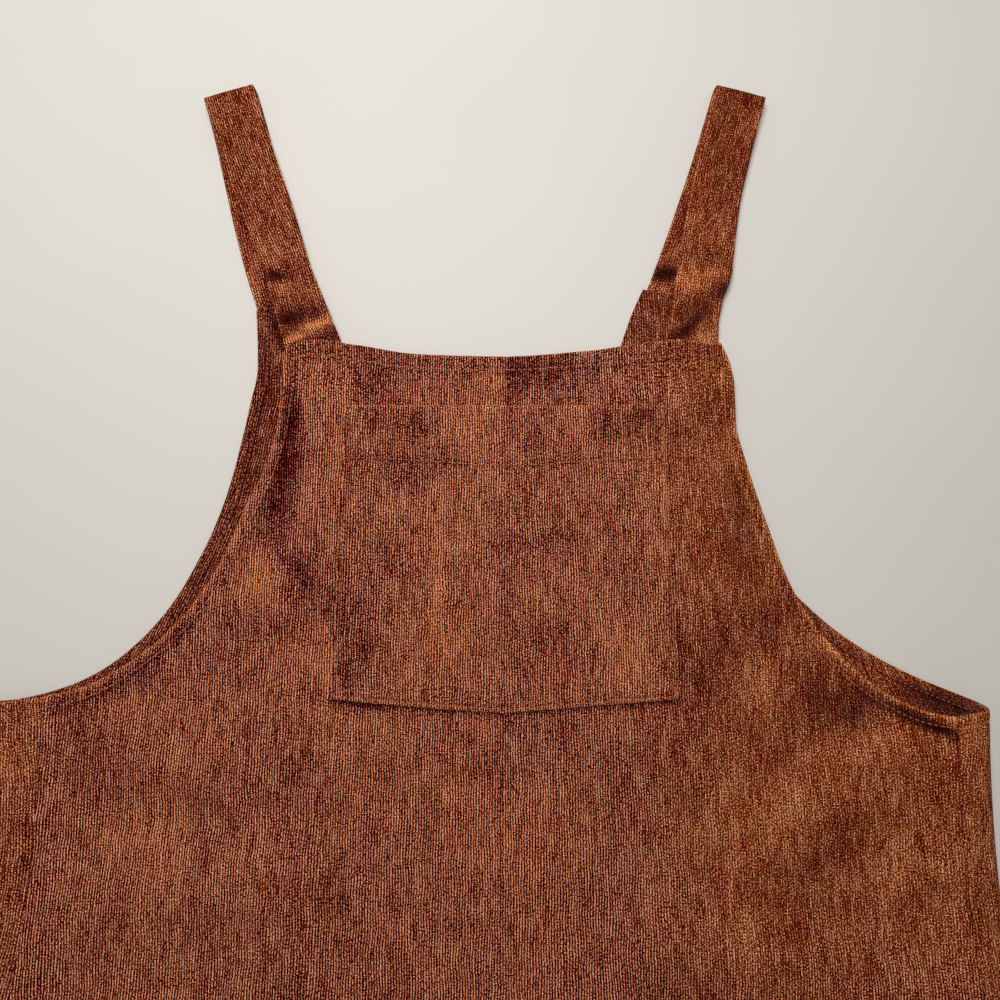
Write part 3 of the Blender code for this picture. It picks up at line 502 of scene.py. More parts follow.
def hermite(stations, values, at):
    """A smooth curve through the values, each with the slope that its neighbours give it."""
    stations = np.asarray(stations, float)
    values = np.asarray(values, float)
    if stations[0] > stations[-1]:
        stations = stations[::-1]
        values = values[::-1]
    slopes = np.gradient(values, stations)
    at = np.clip(at, stations[0], stations[-1])
    low = np.clip(np.searchsorted(stations, at, side="right") - 1, 0, len(stations) - 2)
    span = stations[low + 1] - stations[low]
    share = (at - stations[low]) / span
    rise = values[low + 1] - values[low]
    bend_in = slopes[low] * span - rise
    bend_out = rise - slopes[low + 1] * span
    ease = (1.0 - share) * bend_in + share * bend_out
    return values[low] + share * rise + share * (1.0 - share) * ease


def by_height(rows, column, y):
    """The named column of a table of rows, at this height along the garment."""
    return hermite([row.y for row in rows], [getattr(row, column) for row in rows], y)


def sign(side):
    return -1.0 if side == "left" else 1.0


def bump(distance, half_width):
    """A soft bump of height 1, this wide on either side."""
    return np.exp(-((distance / half_width) ** 2))


def lattice(column, row, seed):
    """An even scatter of numbers from 0 to 1, one for each lattice point."""
    scattered = np.sin(column * 127.1 + row * 311.7 + seed * 74.7) * 43758.5453
    return scattered - np.floor(scattered)


def cloud(x, y, cell, seed):
    """Soft uneven variation from -1 to 1, in lumps of about this size."""
    x = np.asarray(x, float) / cell
    y = np.asarray(y, float) / cell
    column = np.floor(x)
    row = np.floor(y)
    across = smooth(x - column)
    up = smooth(y - row)
    low, high = (
        lattice(column, line, seed) * (1.0 - across) + lattice(column + 1.0, line, seed) * across
        for line in (row, row + 1.0)
    )
    return 2.0 * (low * (1.0 - up) + high * up) - 1.0


def roll_at(side, y):
    """The side fold at this height: where its curve starts, its radius and the seam's return."""
    rows = SIDE_ROLLS[side]
    radius = by_height(rows, "radius", y)
    start = by_height(rows, "apex", y) - radius
    return start, radius, by_height(rows, "seam_return", y)


def side_seam(side, y):
    """The side seam at this height: out on the front, and along the back's cloth."""
    start, radius, seam_return = roll_at(side, y)
    front = start - seam_return - SEAM_GAP / 2.0
    return front, start + math.pi * radius + seam_return - SEAM_GAP / 2.0


def along(points, share):
    """The point at this share of a smooth edge's length."""
    outs = np.array([point.out for point in points], float)
    ys = np.array([point.y for point in points], float)
    lengths = np.concatenate([[0.0], np.cumsum(np.hypot(np.diff(outs), np.diff(ys)))])
    at = np.asarray(share) * lengths[-1]
    return side_by_side(hermite(lengths, outs, at), hermite(lengths, ys, at))


def inside_edge(points, share, widths, seam=None):
    """The points that lie these far inside the edge, square to it, or along a seam where the edge starts:
    shares down, widths across."""
    ahead = along(points, np.minimum(share + EDGE_STEP, 1.0))
    behind = along(points, np.maximum(share - EDGE_STEP, 0.0))
    run = ahead - behind
    run = run / np.hypot(run[:, :1], run[:, 1:])
    inwards = side_by_side(run[:, 1], -run[:, 0])
    if seam is not None:
        lead = seam / (inwards @ seam)[:, None]
        inwards = inwards + (lead - inwards) * smooth(1.0 - share / SEAM_LEAD)[:, None]
    return along(points, share)[:, None] + inwards[:, None] * np.asarray(widths)[None, :, None]


def inside_seam(side, column, points, widths):
    """The points, moved in where they would reach past the side seam."""
    seam = side_seam(side, points[..., 1])[column]
    margin = np.asarray(widths)[None, :] / 5.0
    return side_by_side(np.minimum(points[..., 0], seam - margin), points[..., 1])


def folds_at(folds, x, y):
    """The height that soft folds add at a point."""
    height = np.zeros(np.broadcast(x, y).shape)
    for fold in folds:
        run_x = fold.x1 - fold.x0
        run_y = fold.y1 - fold.y0
        length = math.hypot(run_x, run_y)
        share = ((x - fold.x0) * run_x + (y - fold.y0) * run_y) / length**2
        aside = ((y - fold.y0) * run_x - (x - fold.x0) * run_y) / length
        share = np.clip(share, 0.0, 1.0)
        aside = aside - fold.bow * 4.0 * share * (1.0 - share)
        height = height + fold.height * np.sin(math.pi * share) * bump(aside, fold.half_width)
    return height


def patches_at(patches, x, y):
    """How much lighter or darker the soft patches make the pile."""
    tone = np.zeros(np.broadcast(x, y).shape)
    for patch in patches:
        turn = math.radians(patch.turn)
        across = ((x - patch.x) * math.cos(turn) + (y - patch.y) * math.sin(turn)) / patch.across
        upright = ((y - patch.y) * math.cos(turn) - (x - patch.x) * math.sin(turn)) / patch.upright
        tone = tone + patch.tone * np.exp(-((across**2 + upright**2) ** 1.3))
    return tone


def crushed_at(x, y):
    """How much of the pile is crushed flat: mostly beyond the right side of the pocket."""
    beside = CRUSHED_SHARE * smooth((x - CRUSHED_FROM_X) / CRUSHED_FADE_X)
    beside = beside * smooth((y - CRUSHED_FROM_Y) / CRUSHED_FADE_Y)
    return beside + (1.0 - beside) * 0.3 * np.clip(cloud(x, y, 46.0, 61) + cloud(x, y, 19.0, 62), 0.0, 1.0)


def crotch_curl(y):
    """How far the back's inner edge has curled up to meet the front: 0 above the crotch, 1 in the legs."""
    return smooth((CROTCH_Y + CROTCH_LEAD - y) / CROTCH_FADE)


def inner_line(side, seam, y):
    """The line that the inner edges of front and back follow: the centre seam, then the inside of the leg."""
    centre = sign(side) * by_height(seam, "x", y)
    leg = by_height(LEG_INSIDE[side], "out", y)
    return np.where(y > CROTCH_Y, centre, leg) + SEAM_GAP / 2.0


def settled(x, y):
    """Folds, creases and slight unevenness of the front, resting on the cloth below."""
    uneven = BROAD_UNEVENNESS * cloud(x, y, 41.0, 3) + FINE_UNEVENNESS * cloud(x + 0.3 * y, y, 19.0, 5)
    strength = bpy.context.scene.overalls_cloth.crease_strength
    height = strength * (folds_at(FOLDS, x, y) + folds_at(CREASES, x, y) + uneven)
    return 0.5 * (height + np.sqrt(height**2 + TROUGH_SOFTNESS))


def front_height(side, x, y):
    """The lower surface of the front's cloth."""
    out = sign(side) * x
    start, radius, _ = roll_at(side, y)
    over_armhole_hem = smooth((y - ROWS_START_Y) / LIFT_FADE + 0.5)
    over_leg_hem = smooth((LEG_HEM_Y + LEG_HEM + LIFT_FADE - y) / LIFT_FADE)
    base = CLOTH + LAYER_GAP + (HEM_WALL - CLOTH) * np.maximum(over_armhole_hem, over_leg_hem)
    spread = ROLL_SPREAD + ROLL_SPREAD_PER_RADIUS * radius
    near_side = np.exp(-((np.maximum(start - out, 0.0) / spread) ** 2))
    inner = inner_line(side, CENTRE_FRONT, y) + INSEAM_RADIUS
    near_inside = np.exp(-((np.maximum(out - inner, 0.0) / INSEAM_SOFTNESS) ** 2)) * crotch_curl(y)
    height = base + (2.0 * radius - CLOTH - base) * near_side
    height = height + (2.0 * INSEAM_RADIUS - CLOTH - base) * near_inside
    strap = STRAPS[side]
    aside = np.abs(x - strap.bib[0]) - BIB_LIFT_HALF_WIDTH
    lift = smooth(1.0 - aside / BIB_LIFT_FADE)
    lift = lift * smooth((y - BIB_LIFT_FROM_Y) / (BIB_LIFT_TO_Y - BIB_LIFT_FROM_Y))
    return height + BIB_LIFT * lift + settled(x, y)


def bib_top_rise(side, x, y):
    """How far the straps pull the top of the bib up, fading down to the top of the pocket."""
    rise = sum(pull.height * bump(x - pull.x, pull.half_width) for pull in BIB_PULLS[side])
    corner = BIB_CORNERS[side]
    beyond = np.maximum((sign(side) * x - corner.out) / corner.reach, 0.0)
    rise = rise - corner.drop * beyond**corner.power
    return rise * smooth((y - POCKET_TOP_Y) / (BIB_TOP_Y - POCKET_TOP_Y))


def side_y(side, row_y):
    """Where a row that crosses the centre at this height meets the side seam."""
    levelled = smooth((ROWS_START_Y - row_y) / ROW_LEVELLING)
    return row_y + (UNDERARM_Y[side] - ROWS_START_Y) * (1.0 - levelled)


def front_row_at(column, centre_y):
    """The named column of the table of front rows, for rows that cross the centre at these heights."""
    stations = [-row.centre_y for row in FRONT_ROWS]
    return np.interp(-centre_y, stations, [getattr(row, column) for row in FRONT_ROWS])


def armhole_edge(side, armhole, column):
    """An armhole's edge, with its end at the side seam."""
    y = UNDERARM_Y[side]
    return armhole[side] + (Point(float(side_seam(side, y)[column]), y),)


def level_hem(ends):
    """A hem's columns beside the side seam, on level rows."""
    return side_by_side(ends[:, :1] - np.array(HEM_STEPS), np.repeat(ends[:, 1:], len(HEM_STEPS), axis=1))


def spread_points(start, end, shares):
    """Points between two columns of places, at these shares of the way."""
    shares = np.asarray(shares)[None, :, None]
    return start[:, None] + (end - start)[:, None] * shares


def lower_rows():
    """Where the rows below the underarm cross the centre seams and the inseams."""
    return np.concatenate(
        [
            np.linspace(LOWER_START_Y, CROTCH_Y + 30.0, 54),
            np.linspace(CROTCH_Y + 26.0, CROTCH_Y - 50.0, 26),
            np.linspace(CROTCH_Y - 56.0, LEG_HEM_Y + LEG_STEPS[0] + 3.0, 92),
            LEG_HEM_Y + np.array(LEG_STEPS),
        ]
    )


def joined_rows(side, column, upper, lower):
    """The rows above and below the underarm as one cut, with even rows between them."""
    shares = np.arange(1, TRANSITION_ROWS + 1)[:, None, None] / (TRANSITION_ROWS + 1.0)
    middle = upper[-1:] + (lower[:1] - upper[-1:]) * shares
    seam = side_seam(side, middle[:, -1, 1])[column]
    shift = (seam - middle[:, -1, 0])[:, None] * np.linspace(0.0, 1.0, middle.shape[1])[None, :] ** 6
    middle[..., 0] += shift
    return np.concatenate([upper, middle, lower])


def from_edge(flat, edge):
    """How far each point of a flat cut lies from a curved edge."""
    line = along(edge, np.linspace(0.0, 1.0, 200))
    runs = np.diff(line, axis=0)
    near = np.full(flat.shape[:2], FAR)
    for row in np.flatnonzero(flat[..., 1].max(axis=1) > LOWER_START_Y):
        apart = flat[row][:, None] - line[None, :-1]
        share = np.clip((apart * runs).sum(axis=-1) / (runs**2).sum(axis=-1), 0.0, 1.0)
        near[row] = np.linalg.norm(apart - share[..., None] * runs, axis=-1).min(axis=1)
    return near


def from_side_seam(side, column, flat):
    """How far each point of a flat cut lies from the side seam, which ends at the underarm."""
    seam = side_seam(side, flat[..., 1])[column]
    return np.hypot(seam - flat[..., 0], np.maximum(flat[..., 1] - UNDERARM_Y[side], 0.0))


def run_length(points):
    """How far each point of a row lies from the row's first one."""
    steps = np.linalg.norm(np.diff(points, axis=1), axis=-1)
    return np.concatenate([np.zeros((len(points), 1)), np.cumsum(steps, axis=1)], axis=1)


def grid_normals(points, up):
    """Normals of a grid of points, turned so that most of them look up or down."""
    down_rows = np.gradient(points, axis=0)
    along_rows = np.gradient(points, axis=1)
    normals = np.cross(along_rows, down_rows)
    lengths = np.linalg.norm(normals, axis=-1, keepdims=True)
    normals = normals / np.maximum(lengths, 1e-9)
    if (normals[..., 2].mean() > 0.0) != up:
        normals = -normals
    return normals


def rounded(distance, radius):
    """How far a face falls away towards a finished edge that is rounded over."""
    inside = np.clip(radius - distance, 0.0, radius)
    return radius - np.sqrt(np.maximum(radius**2 - inside**2, 0.0))


def linear(colour):
    """A colour given as an sRGB hex value, as linear red, green, blue and alpha."""
    parts = [int(colour[place : place + 2], 16) / 255.0 for place in (1, 3, 5)]
    return (*[part / 12.92 if part <= 0.04045 else ((part + 0.055) / 1.055) ** 2.4 for part in parts], 1.0)


def set_inputs(tree, node, inputs, kept):
    """Gives each input a value or a link. A name stands for the output that is kept under it."""
    for key, value in inputs.items():
        if isinstance(value, str):
            value = kept.get(value, value)
        if isinstance(value, bpy.types.NodeSocket):
            tree.links.new(value, node.inputs[key])
        else:
            node.inputs[key].default_value = value


def add_node(tree, kind, settings, inputs, kept):
    """Adds a node, sets what it is, and gives each input a value or a link."""
    node = tree.nodes.new(kind)
    for name, value in settings.items():
        setattr(node, name, value)
    set_inputs(tree, node, inputs, kept)
    return node


def add_recipe(tree, recipe, kept):
    """Adds the nodes of a recipe in order. Each row has a name, what the node is, its inputs and, where it
    isn't the first, the output that is kept under the name."""
    for name, (kind, settings), inputs, *output in recipe:
        kept[name] = add_node(tree, kind, settings, inputs, kept).outputs[output[0] if output else 0]
    return kept


# What the nodes are that the recipes use most.
CUT = ("ShaderNodeUVMap", {"uv_map": "cloth"})
PLACE = ("ShaderNodeTexCoord", {})
PARTS = ("ShaderNodeSeparateXYZ", {})
JOIN = ("ShaderNodeCombineXYZ", {})
NOISE = ("ShaderNodeTexNoise", {"noise_dimensions": "2D"})
DIAGONALS = ("ShaderNodeTexWave", {"wave_type": "BANDS", "bands_direction": "DIAGONAL"})
TIMES = ("ShaderNodeMath", {"operation": "MULTIPLY"})
TIMES_PLUS = ("ShaderNodeMath", {"operation": "MULTIPLY_ADD"})
RAMP = ("ShaderNodeValToRGB", {})
BUMP = ("ShaderNodeBump", {})
ALIGN = "FunctionNodeAlignRotationToVector"


def build_material(name, recipe, stops, surface):
    """A node material: its recipe, the stops of the recipe's ramp, and what its shader gets."""
    material = bpy.data.materials.new(name)
    material.use_nodes = True
    tree = material.node_tree
    kept = add_recipe(tree, recipe, {})
    elements = kept["ramp"].node.color_ramp.elements
    while len(elements) < len(stops):
        elements.new(0.5)
    for element, (position, colour) in zip(elements, stops):
        element.position = position
        element.color = colour
    set_inputs(tree, tree.nodes["Principled BSDF"], surface, kept)
    return material


def per_metre(size):
    """A pattern's scale, from the size of its cells in millimetres."""
    return 1.0 / (size * METRES)


def band_scale(spacing):
    """A wave's scale, from how far apart its diagonal bands lie in millimetres. Blender repeats them every
    2 pi / 10 units along each of two axes."""
    return 2.0 * math.pi / 10.0 / math.sqrt(2.0) * per_metre(spacing)


def darker(colour, share):
    """A colour at this share of its brightness."""
    return (*[share * part for part in colour[:3]], 1.0)


def add_object(name, data):
    """An object with this data, linked to the scene."""
    obj = bpy.data.objects.new(name, data)
    bpy.context.scene.collection.objects.link(obj)
    return obj


COLOUR = {"subtype": "COLOR", "size": 4}


class ClothSettings(PropertyGroup):
    """The corduroy."""

    rib_spacing: FloatProperty(
        name="Rib spacing", description="From rib to rib of the corduroy", default=0.00143, unit="LENGTH"
    )
    rib_depth: FloatProperty(
        name="Rib depth", description="Height of a rib's pile above the groove", default=0.0004, unit="LENGTH"
    )
    crease_strength: FloatProperty(
        name="Crease strength", description="Height of folds, as a share", default=1.0, subtype="FACTOR"
    )
    # Scales the nap patches together with the painted light and painted shade that they carry.
    nap_and_painted_light_contrast: FloatProperty(
        name="Nap contrast", description="How much brushed patches differ", default=1.0, subtype="FACTOR"
    )
    # The groove's colour is partly the groove's own darker pile and partly painted shade between the ribs.
    deep: FloatVectorProperty(
        name="Groove", description="Between the ribs", default=linear("#1e0000"), **COLOUR
    )
    dark: FloatVectorProperty(
        name="Dark pile", description="Leans towards the eye", default=linear("#4a0300"), **COLOUR
    )
    middle: FloatVectorProperty(
        name="Pile", description="Most of the pile", default=linear("#74270f"), **COLOUR
    )
    light: FloatVectorProperty(
        name="Light pile", description="Leans away from the eye", default=linear("#be684a"), **COLOUR
    )
    # The brightest stop: partly pale pile tips, partly painted glints of light on single tufts.
    tip: FloatVectorProperty(
        name="Pile tips", description="Single tufts that catch the light", default=linear("#ffc8ae"), **COLOUR
    )
    wrong_side: FloatVectorProperty(
        name="Wrong side", description="The flat woven ground", default=linear("#7d4a30"), **COLOUR
    )


class SewingSettings(PropertyGroup):
    """The topstitching."""

    stitch_length: FloatProperty(
        name="Stitch length", description="Visible length of a stitch", default=0.0024, unit="LENGTH"
    )
    stitch_pitch: FloatProperty(
        name="Stitch pitch", description="From one stitch to the next", default=0.0031, unit="LENGTH"
    )
    thread_width: FloatProperty(
        name="Thread width", description="Across the thread", default=0.0006, unit="LENGTH"
    )
    seed: IntProperty(name="Seed", description="Chooses the small unevenness of the stitches", default=4)
    thread: FloatVectorProperty(
        name="Thread", description="Sewing thread", default=linear("#d0784a"), **COLOUR
    )


class StageSettings(PropertyGroup):
    """The table, the light and the camera."""

    table: FloatVectorProperty(
        name="Table", description="The pale table top", default=linear("#d9d6d0"), **COLOUR
    )
    key_power: FloatProperty(name="Key light", description="Power of the soft lamp in watts", default=8.4)
    key_place: FloatVectorProperty(
        name="Key place",
        description="Where the lamp hangs",
        default=(-0.12, 0.85, 0.9),
        subtype="TRANSLATION",
    )
    key_aim: FloatVectorProperty(
        name="Key aim",
        description="What the lamp points at",
        default=(-0.12, 0.8, 0.0),
        subtype="TRANSLATION",
    )
    sky_strength: FloatProperty(name="Room light", description="Strength of the even light", default=0.3)
    lens: FloatProperty(name="Lens", description="Focal length in millimetres", default=27.04)
    tilt: FloatProperty(
        name="Tilt", description="Lean from straight down", default=math.radians(9.3), subtype="ANGLE"
    )
    place: FloatVectorProperty(
        name="Camera",
        description="Where the camera stands",
        default=(0.00535, 0.38342, 0.42844),
        subtype="TRANSLATION",
    )


def corduroy_material(settings):
    """Fine-wale cotton corduroy, brushed. Each rib is a broken bright line of pile with a deep groove beside
    it, and the pile's lean turns whole patches lighter or darker, which gives the eye its crushed look.
    Painted light and painted shade of folds, edges and the lamp are carried in the same patches."""
    recipe = (
        ("cut", CUT, {}),
        ("x", PARTS, {"Vector": "cut"}, "X"),
        ("y", PARTS, {"Vector": "cut"}, "Y"),
        # The pile's patches: nap tone together with painted light and painted shade of folds, edges and the
        # lamp.
        ("nap", ("ShaderNodeAttribute", {"attribute_name": "nap"}), {}, "Fac"),
        ("crushed", ("ShaderNodeAttribute", {"attribute_name": "crushed"}), {}, "Fac"),
        ("standing", TIMES_PLUS, {0: "crushed", 1: -0.75, 2: 1.0}),
        # The ribs wander by a fraction of a millimetre over each 16 mm, and a little more closely.
        ("wander", NOISE, {"Vector": "cut", "Scale": per_metre(16.667), "Detail": 4.0}),
        ("ribs", TIMES, {0: "x", 1: 1.0 / settings.rib_spacing}),
        ("bent", TIMES_PLUS, {0: "wander", 1: 1.7, 2: "ribs"}),
        ("rib", ("ShaderNodeMath", {"operation": "FLOOR"}), {0: "bent"}),
        ("across", ("ShaderNodeMath", {"operation": "PINGPONG"}), {0: "bent", 1: 0.5}),
        # The crest sets the tone across a rib: the groove is painted dark, partly its own colour and partly
        # painted shade.
        (
            "crest",
            ("ShaderNodeMapRange", {"interpolation_type": "SMOOTHSTEP"}),
            {"Value": "across", "From Min": 0.15, "From Max": 0.42},
        ),
        # Pile: each rib is a little lighter or darker than the next over 10 to 20 mm, and single tufts about
        # half a millimetre across are painted bright as glints of light.
        ("rib_seed", TIMES, {0: "rib", 1: 7.31}),
        ("run_along", TIMES, {0: "y", 1: per_metre(11.111)}),
        ("run_place", JOIN, {"X": "rib_seed", "Y": "run_along"}),
        ("run", NOISE, {"Vector": "run_place", "Scale": 1.0, "Detail": 1.0}),
        ("tufts", NOISE, {"Vector": "cut", "Scale": per_metre(0.8), "Detail": 1.5, "Roughness": 1.0}),
        ("runs", TIMES_PLUS, {0: "run", 1: 0.9, 2: -2.95}),
        ("grain", TIMES_PLUS, {0: "tufts", 1: 5.0, 2: "runs"}),
        # Mood of the pile: the nap patches with their painted light and painted shade, and clouds about 7 mm
        # and 24 mm across, which are 2.5 times as long along the ribs.
        ("stretched", ("ShaderNodeVectorMath", {"operation": "MULTIPLY"}), {0: "cut", 1: (1.0, 0.4, 1.0)}),
        ("fine", NOISE, {"Vector": "stretched", "Scale": per_metre(6.6667), "Detail": 2.5}),
        ("broad", NOISE, {"Vector": "stretched", "Scale": per_metre(23.81), "Detail": 2.0}),
        ("brushed", TIMES, {0: "nap", 1: settings.nap_and_painted_light_contrast}),
        ("clouded", TIMES_PLUS, {0: "broad", 1: 1.0, 2: "brushed"}),
        ("mood", TIMES_PLUS, {0: "fine", 1: 0.8, 2: "clouded"}),
        # Tone: the mood lifts the whole and brightens the ribs more than the grooves, and crushed pile has
        # the weaker ribs.
        ("centred", TIMES_PLUS, {0: "crest", 1: 1.05, 2: -0.52}),
        ("ribbing", TIMES, {0: "centred", 1: "standing"}),
        ("calm", TIMES_PLUS, {0: "crushed", 1: -0.41, 2: 1.0}),
        ("pile", TIMES_PLUS, {0: "grain", 1: "calm", 2: "ribbing"}),
        ("raised", ("ShaderNodeMath", {"operation": "ADD"}), {0: "pile", 1: 0.5}),
        ("keen", TIMES_PLUS, {0: "mood", 1: 0.2, 2: 0.83}),
        ("lifted", TIMES_PLUS, {0: "crushed", 1: 0.1, 2: -0.239}),
        ("base", TIMES_PLUS, {0: "mood", 1: 0.1, 2: "lifted"}),
        ("tone", TIMES_PLUS, {0: "raised", 1: "keen", 2: "base"}),
        ("ramp", RAMP, {"Fac": "tone"}),
        # Hue: where the pile is painted shaded it is duller and where it is painted lit it is richer, so
        # painted light also sets its saturation, and soft clouds are more orange.
        ("clouds", NOISE, {"Vector": "cut", "Scale": per_metre(26.316), "Detail": 2.0}),
        ("tint", TIMES_PLUS, {0: "crushed", 1: 0.01, 2: 0.4738}),
        ("drift", TIMES_PLUS, {0: "clouds", 1: 0.014, 2: "tint"}),
        ("streaked", TIMES_PLUS, {0: "fine", 1: 0.016, 2: "drift"}),
        (
            "rich",
            ("ShaderNodeMapRange", {}),
            {"Value": "nap", "From Min": -1.3, "From Max": 1.3, "To Min": 1.02, "To Max": 1.5},
        ),
        ("hue", TIMES_PLUS, {0: "rich", 1: 0.005, 2: "streaked"}),
        ("vivid", TIMES_PLUS, {0: "crushed", 1: -0.12, 2: "rich"}),
        ("colour", ("ShaderNodeHueSaturation", {}), {"Hue": "hue", "Saturation": "vivid", "Color": "ramp"}),
        ("relief", BUMP, {"Strength": 0.75, "Distance": settings.rib_depth, "Height": "crest"}),
    )
    shades = (settings.deep, settings.dark, settings.middle, settings.light, settings.tip)
    surface = {
        "Base Color": "colour",
        "Normal": "relief",
        "Roughness": 0.9,
        "Specular IOR Level": 0.02,
        "Sheen Weight": 0.02,
        "Sheen Roughness": 0.4,
        "Sheen Tint": linear("#e29a66"),
    }
    stops = tuple(zip((0.0, 0.22, 0.46, 0.74, 1.0), shades))
    return build_material("brushed_fine_wale_corduroy", recipe, stops, surface)


def ground_material(settings):
    """The wrong side of the corduroy: a flat cotton twill without pile, duller and a little paler. Its
    lines are 0.5 mm apart, drawn at 1.4 mm so that they show."""
    recipe = (
        ("cut", CUT, {}),
        (
            "twill",
            DIAGONALS,
            {"Vector": "cut", "Scale": band_scale(1.3884), "Distortion": 1.2, "Detail": 1.0},
            "Fac",
        ),
        ("worn", NOISE, {"Vector": "cut", "Scale": per_metre(16.667), "Detail": 4.0}),
        ("weave", TIMES_PLUS, {0: "twill", 1: 0.3, 2: "worn"}),
        ("ramp", RAMP, {"Fac": "weave"}),
        ("relief", BUMP, {"Strength": 0.5, "Distance": 0.00015, "Height": "twill"}),
    )
    stops = ((0.3, darker(settings.wrong_side, 0.62)), (0.85, settings.wrong_side))
    surface = {"Base Color": "ramp", "Normal": "relief", "Roughness": 0.92, "Specular IOR Level": 0.2}
    return build_material("cotton_twill_ground", recipe, stops, surface)


def thread_material(settings):
    """Spun polyester thread: two twisted plies, half a millimetre from turn to turn, with a slight sheen on
    each stitch."""
    recipe = (
        ("place", PLACE, {}, "Object"),
        ("plies", DIAGONALS, {"Vector": "place", "Scale": band_scale(0.49366), "Distortion": 0.5}, "Fac"),
        ("ramp", RAMP, {"Fac": "plies"}),
    )
    stops = ((0.0, darker(settings.thread, 0.6)), (1.0, settings.thread))
    return build_material("spun_polyester_thread", recipe, stops, {"Base Color": "ramp", "Roughness": 0.6})


def table_material(settings):
    """Honed pale stone, with faint clouds a third of a metre across: matt enough to show only a wide soft
    glow of the lamp."""
    recipe = (
        ("place", PLACE, {}, "Object"),
        ("grain", ("ShaderNodeTexNoise", {}), {"Vector": "place", "Scale": per_metre(333.33), "Detail": 3.0}),
        ("ramp", RAMP, {"Fac": "grain"}),
    )
    stops = ((0.3, darker(settings.table, 0.95)), (0.7, settings.table))
    surface = {"Base Color": "ramp", "Roughness": 0.6, "Specular IOR Level": 0.25}
    return build_material("honed_pale_stone", recipe, stops, surface)


def shared_material(key, build, settings):
    """The material of this kind, built when it is first asked for."""
    if key not in made:
        made[key] = build(settings)
    return made[key]


def placed(points):
    """Points of the cutting frame, in metres in the frame of the solids."""
    return (points - np.array([MIDDLE_X, MIDDLE_Y, 0.0])) * METRES


def sheet_mesh(node, outer, inner, cut, inner_cut, nap, inner_nap_and_painted_light, inner_pile, crushed=0.0):
    """A closed sheet of cloth between an outer and an inner grid of points. The inner face has pile only
    where its share says so, and elsewhere it shows the woven ground."""
    name = node + "_cloth"
    rows, columns = outer.shape[:2]
    count = rows * columns
    index = np.arange(count).reshape(rows, columns)
    faces = side_by_side(index[:-1, :-1], index[1:, :-1], index[1:, 1:], index[:-1, 1:]).reshape(-1, 4)
    starts = np.concatenate([index[:-1, 0], index[-1, :-1], index[:0:-1, -1], index[0, :0:-1]])
    ends = np.concatenate([index[1:, 0], index[-1, 1:], index[-2::-1, -1], index[0, -2::-1]])
    rim = side_by_side(ends, starts, starts + count, ends + count)
    quads = np.concatenate([faces, faces[:, ::-1] + count, rim])
    points = np.concatenate([outer.reshape(-1, 3), inner.reshape(-1, 3)])
    a, b, c, d = (points[quads[:, corner]] for corner in range(4))
    volume = np.einsum("ij,ij->i", a, np.cross(b, c) + np.cross(c, d)).sum()
    if volume < 0.0:
        quads = quads[:, ::-1]
    mesh = bpy.data.meshes.new(name)
    mesh.vertices.add(2 * count)
    mesh.vertices.foreach_set("co", placed(points).ravel())
    mesh.loops.add(quads.size)
    mesh.loops.foreach_set("vertex_index", quads.ravel())
    mesh.polygons.add(len(quads))
    mesh.polygons.foreach_set("loop_start", np.arange(0, quads.size, 4))
    mesh.polygons.foreach_set("loop_total", np.full(len(quads), 4))
    mesh.update(calc_edges=True)
    mesh.validate()
    both = np.concatenate([cut.reshape(-1, 2), inner_cut.reshape(-1, 2)]) * METRES
    layer = mesh.uv_layers.new(name="cloth")
    layer.data.foreach_set("uv", both[quads.ravel()].ravel())
    pile_crushed = crushed + (1.0 - crushed) * crushed_at(points[:, 0], points[:, 1])
    # The patch attribute carries nap tone together with painted light and painted shade.
    pile_nap_and_painted_light = np.concatenate([nap.ravel(), inner_nap_and_painted_light.ravel()])
    for attribute, values in (("nap", pile_nap_and_painted_light), ("crushed", pile_crushed)):
        mesh.attributes.new(attribute, "FLOAT", "POINT").data.foreach_set("value", values)
    settings = bpy.context.scene.overalls_cloth
    mesh.materials.append(shared_material("pile", corduroy_material, settings))
    mesh.materials.append(shared_material("ground", ground_material, settings))
    bare = np.concatenate([np.zeros(count), 1.0 - inner_pile.ravel()])
    mesh.polygons.foreach_set("material_index", (bare[quads].mean(axis=1) > 0.5).astype(np.int32))
    mesh.shade_smooth()
    return add_object(name, mesh)


def hand_in(obj, node):
    """Attaches a sheet to the body and hides the imported part that it stands for."""
    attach(obj, BODY)
    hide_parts(node)


def painted_lamp_shading(normals):
    """Painted shading: how much lighter the pile is painted where a surface faces the lamp, which is beyond
    the upper left.
    """
    return PAINTED_SHADING_CONTRAST * (LAMP_SIDE[0] * normals[..., 0] + LAMP_SIDE[1] * normals[..., 1])


def front_rows(centre, pocket, hem):
    """The rows of a front half: to the pocket's side line, on to the hem, and across the hem."""
    inside = spread_points(centre, pocket, TO_POCKET)
    return np.concatenate([inside, spread_points(pocket, hem[:, 0], TO_HEM), hem], axis=1)


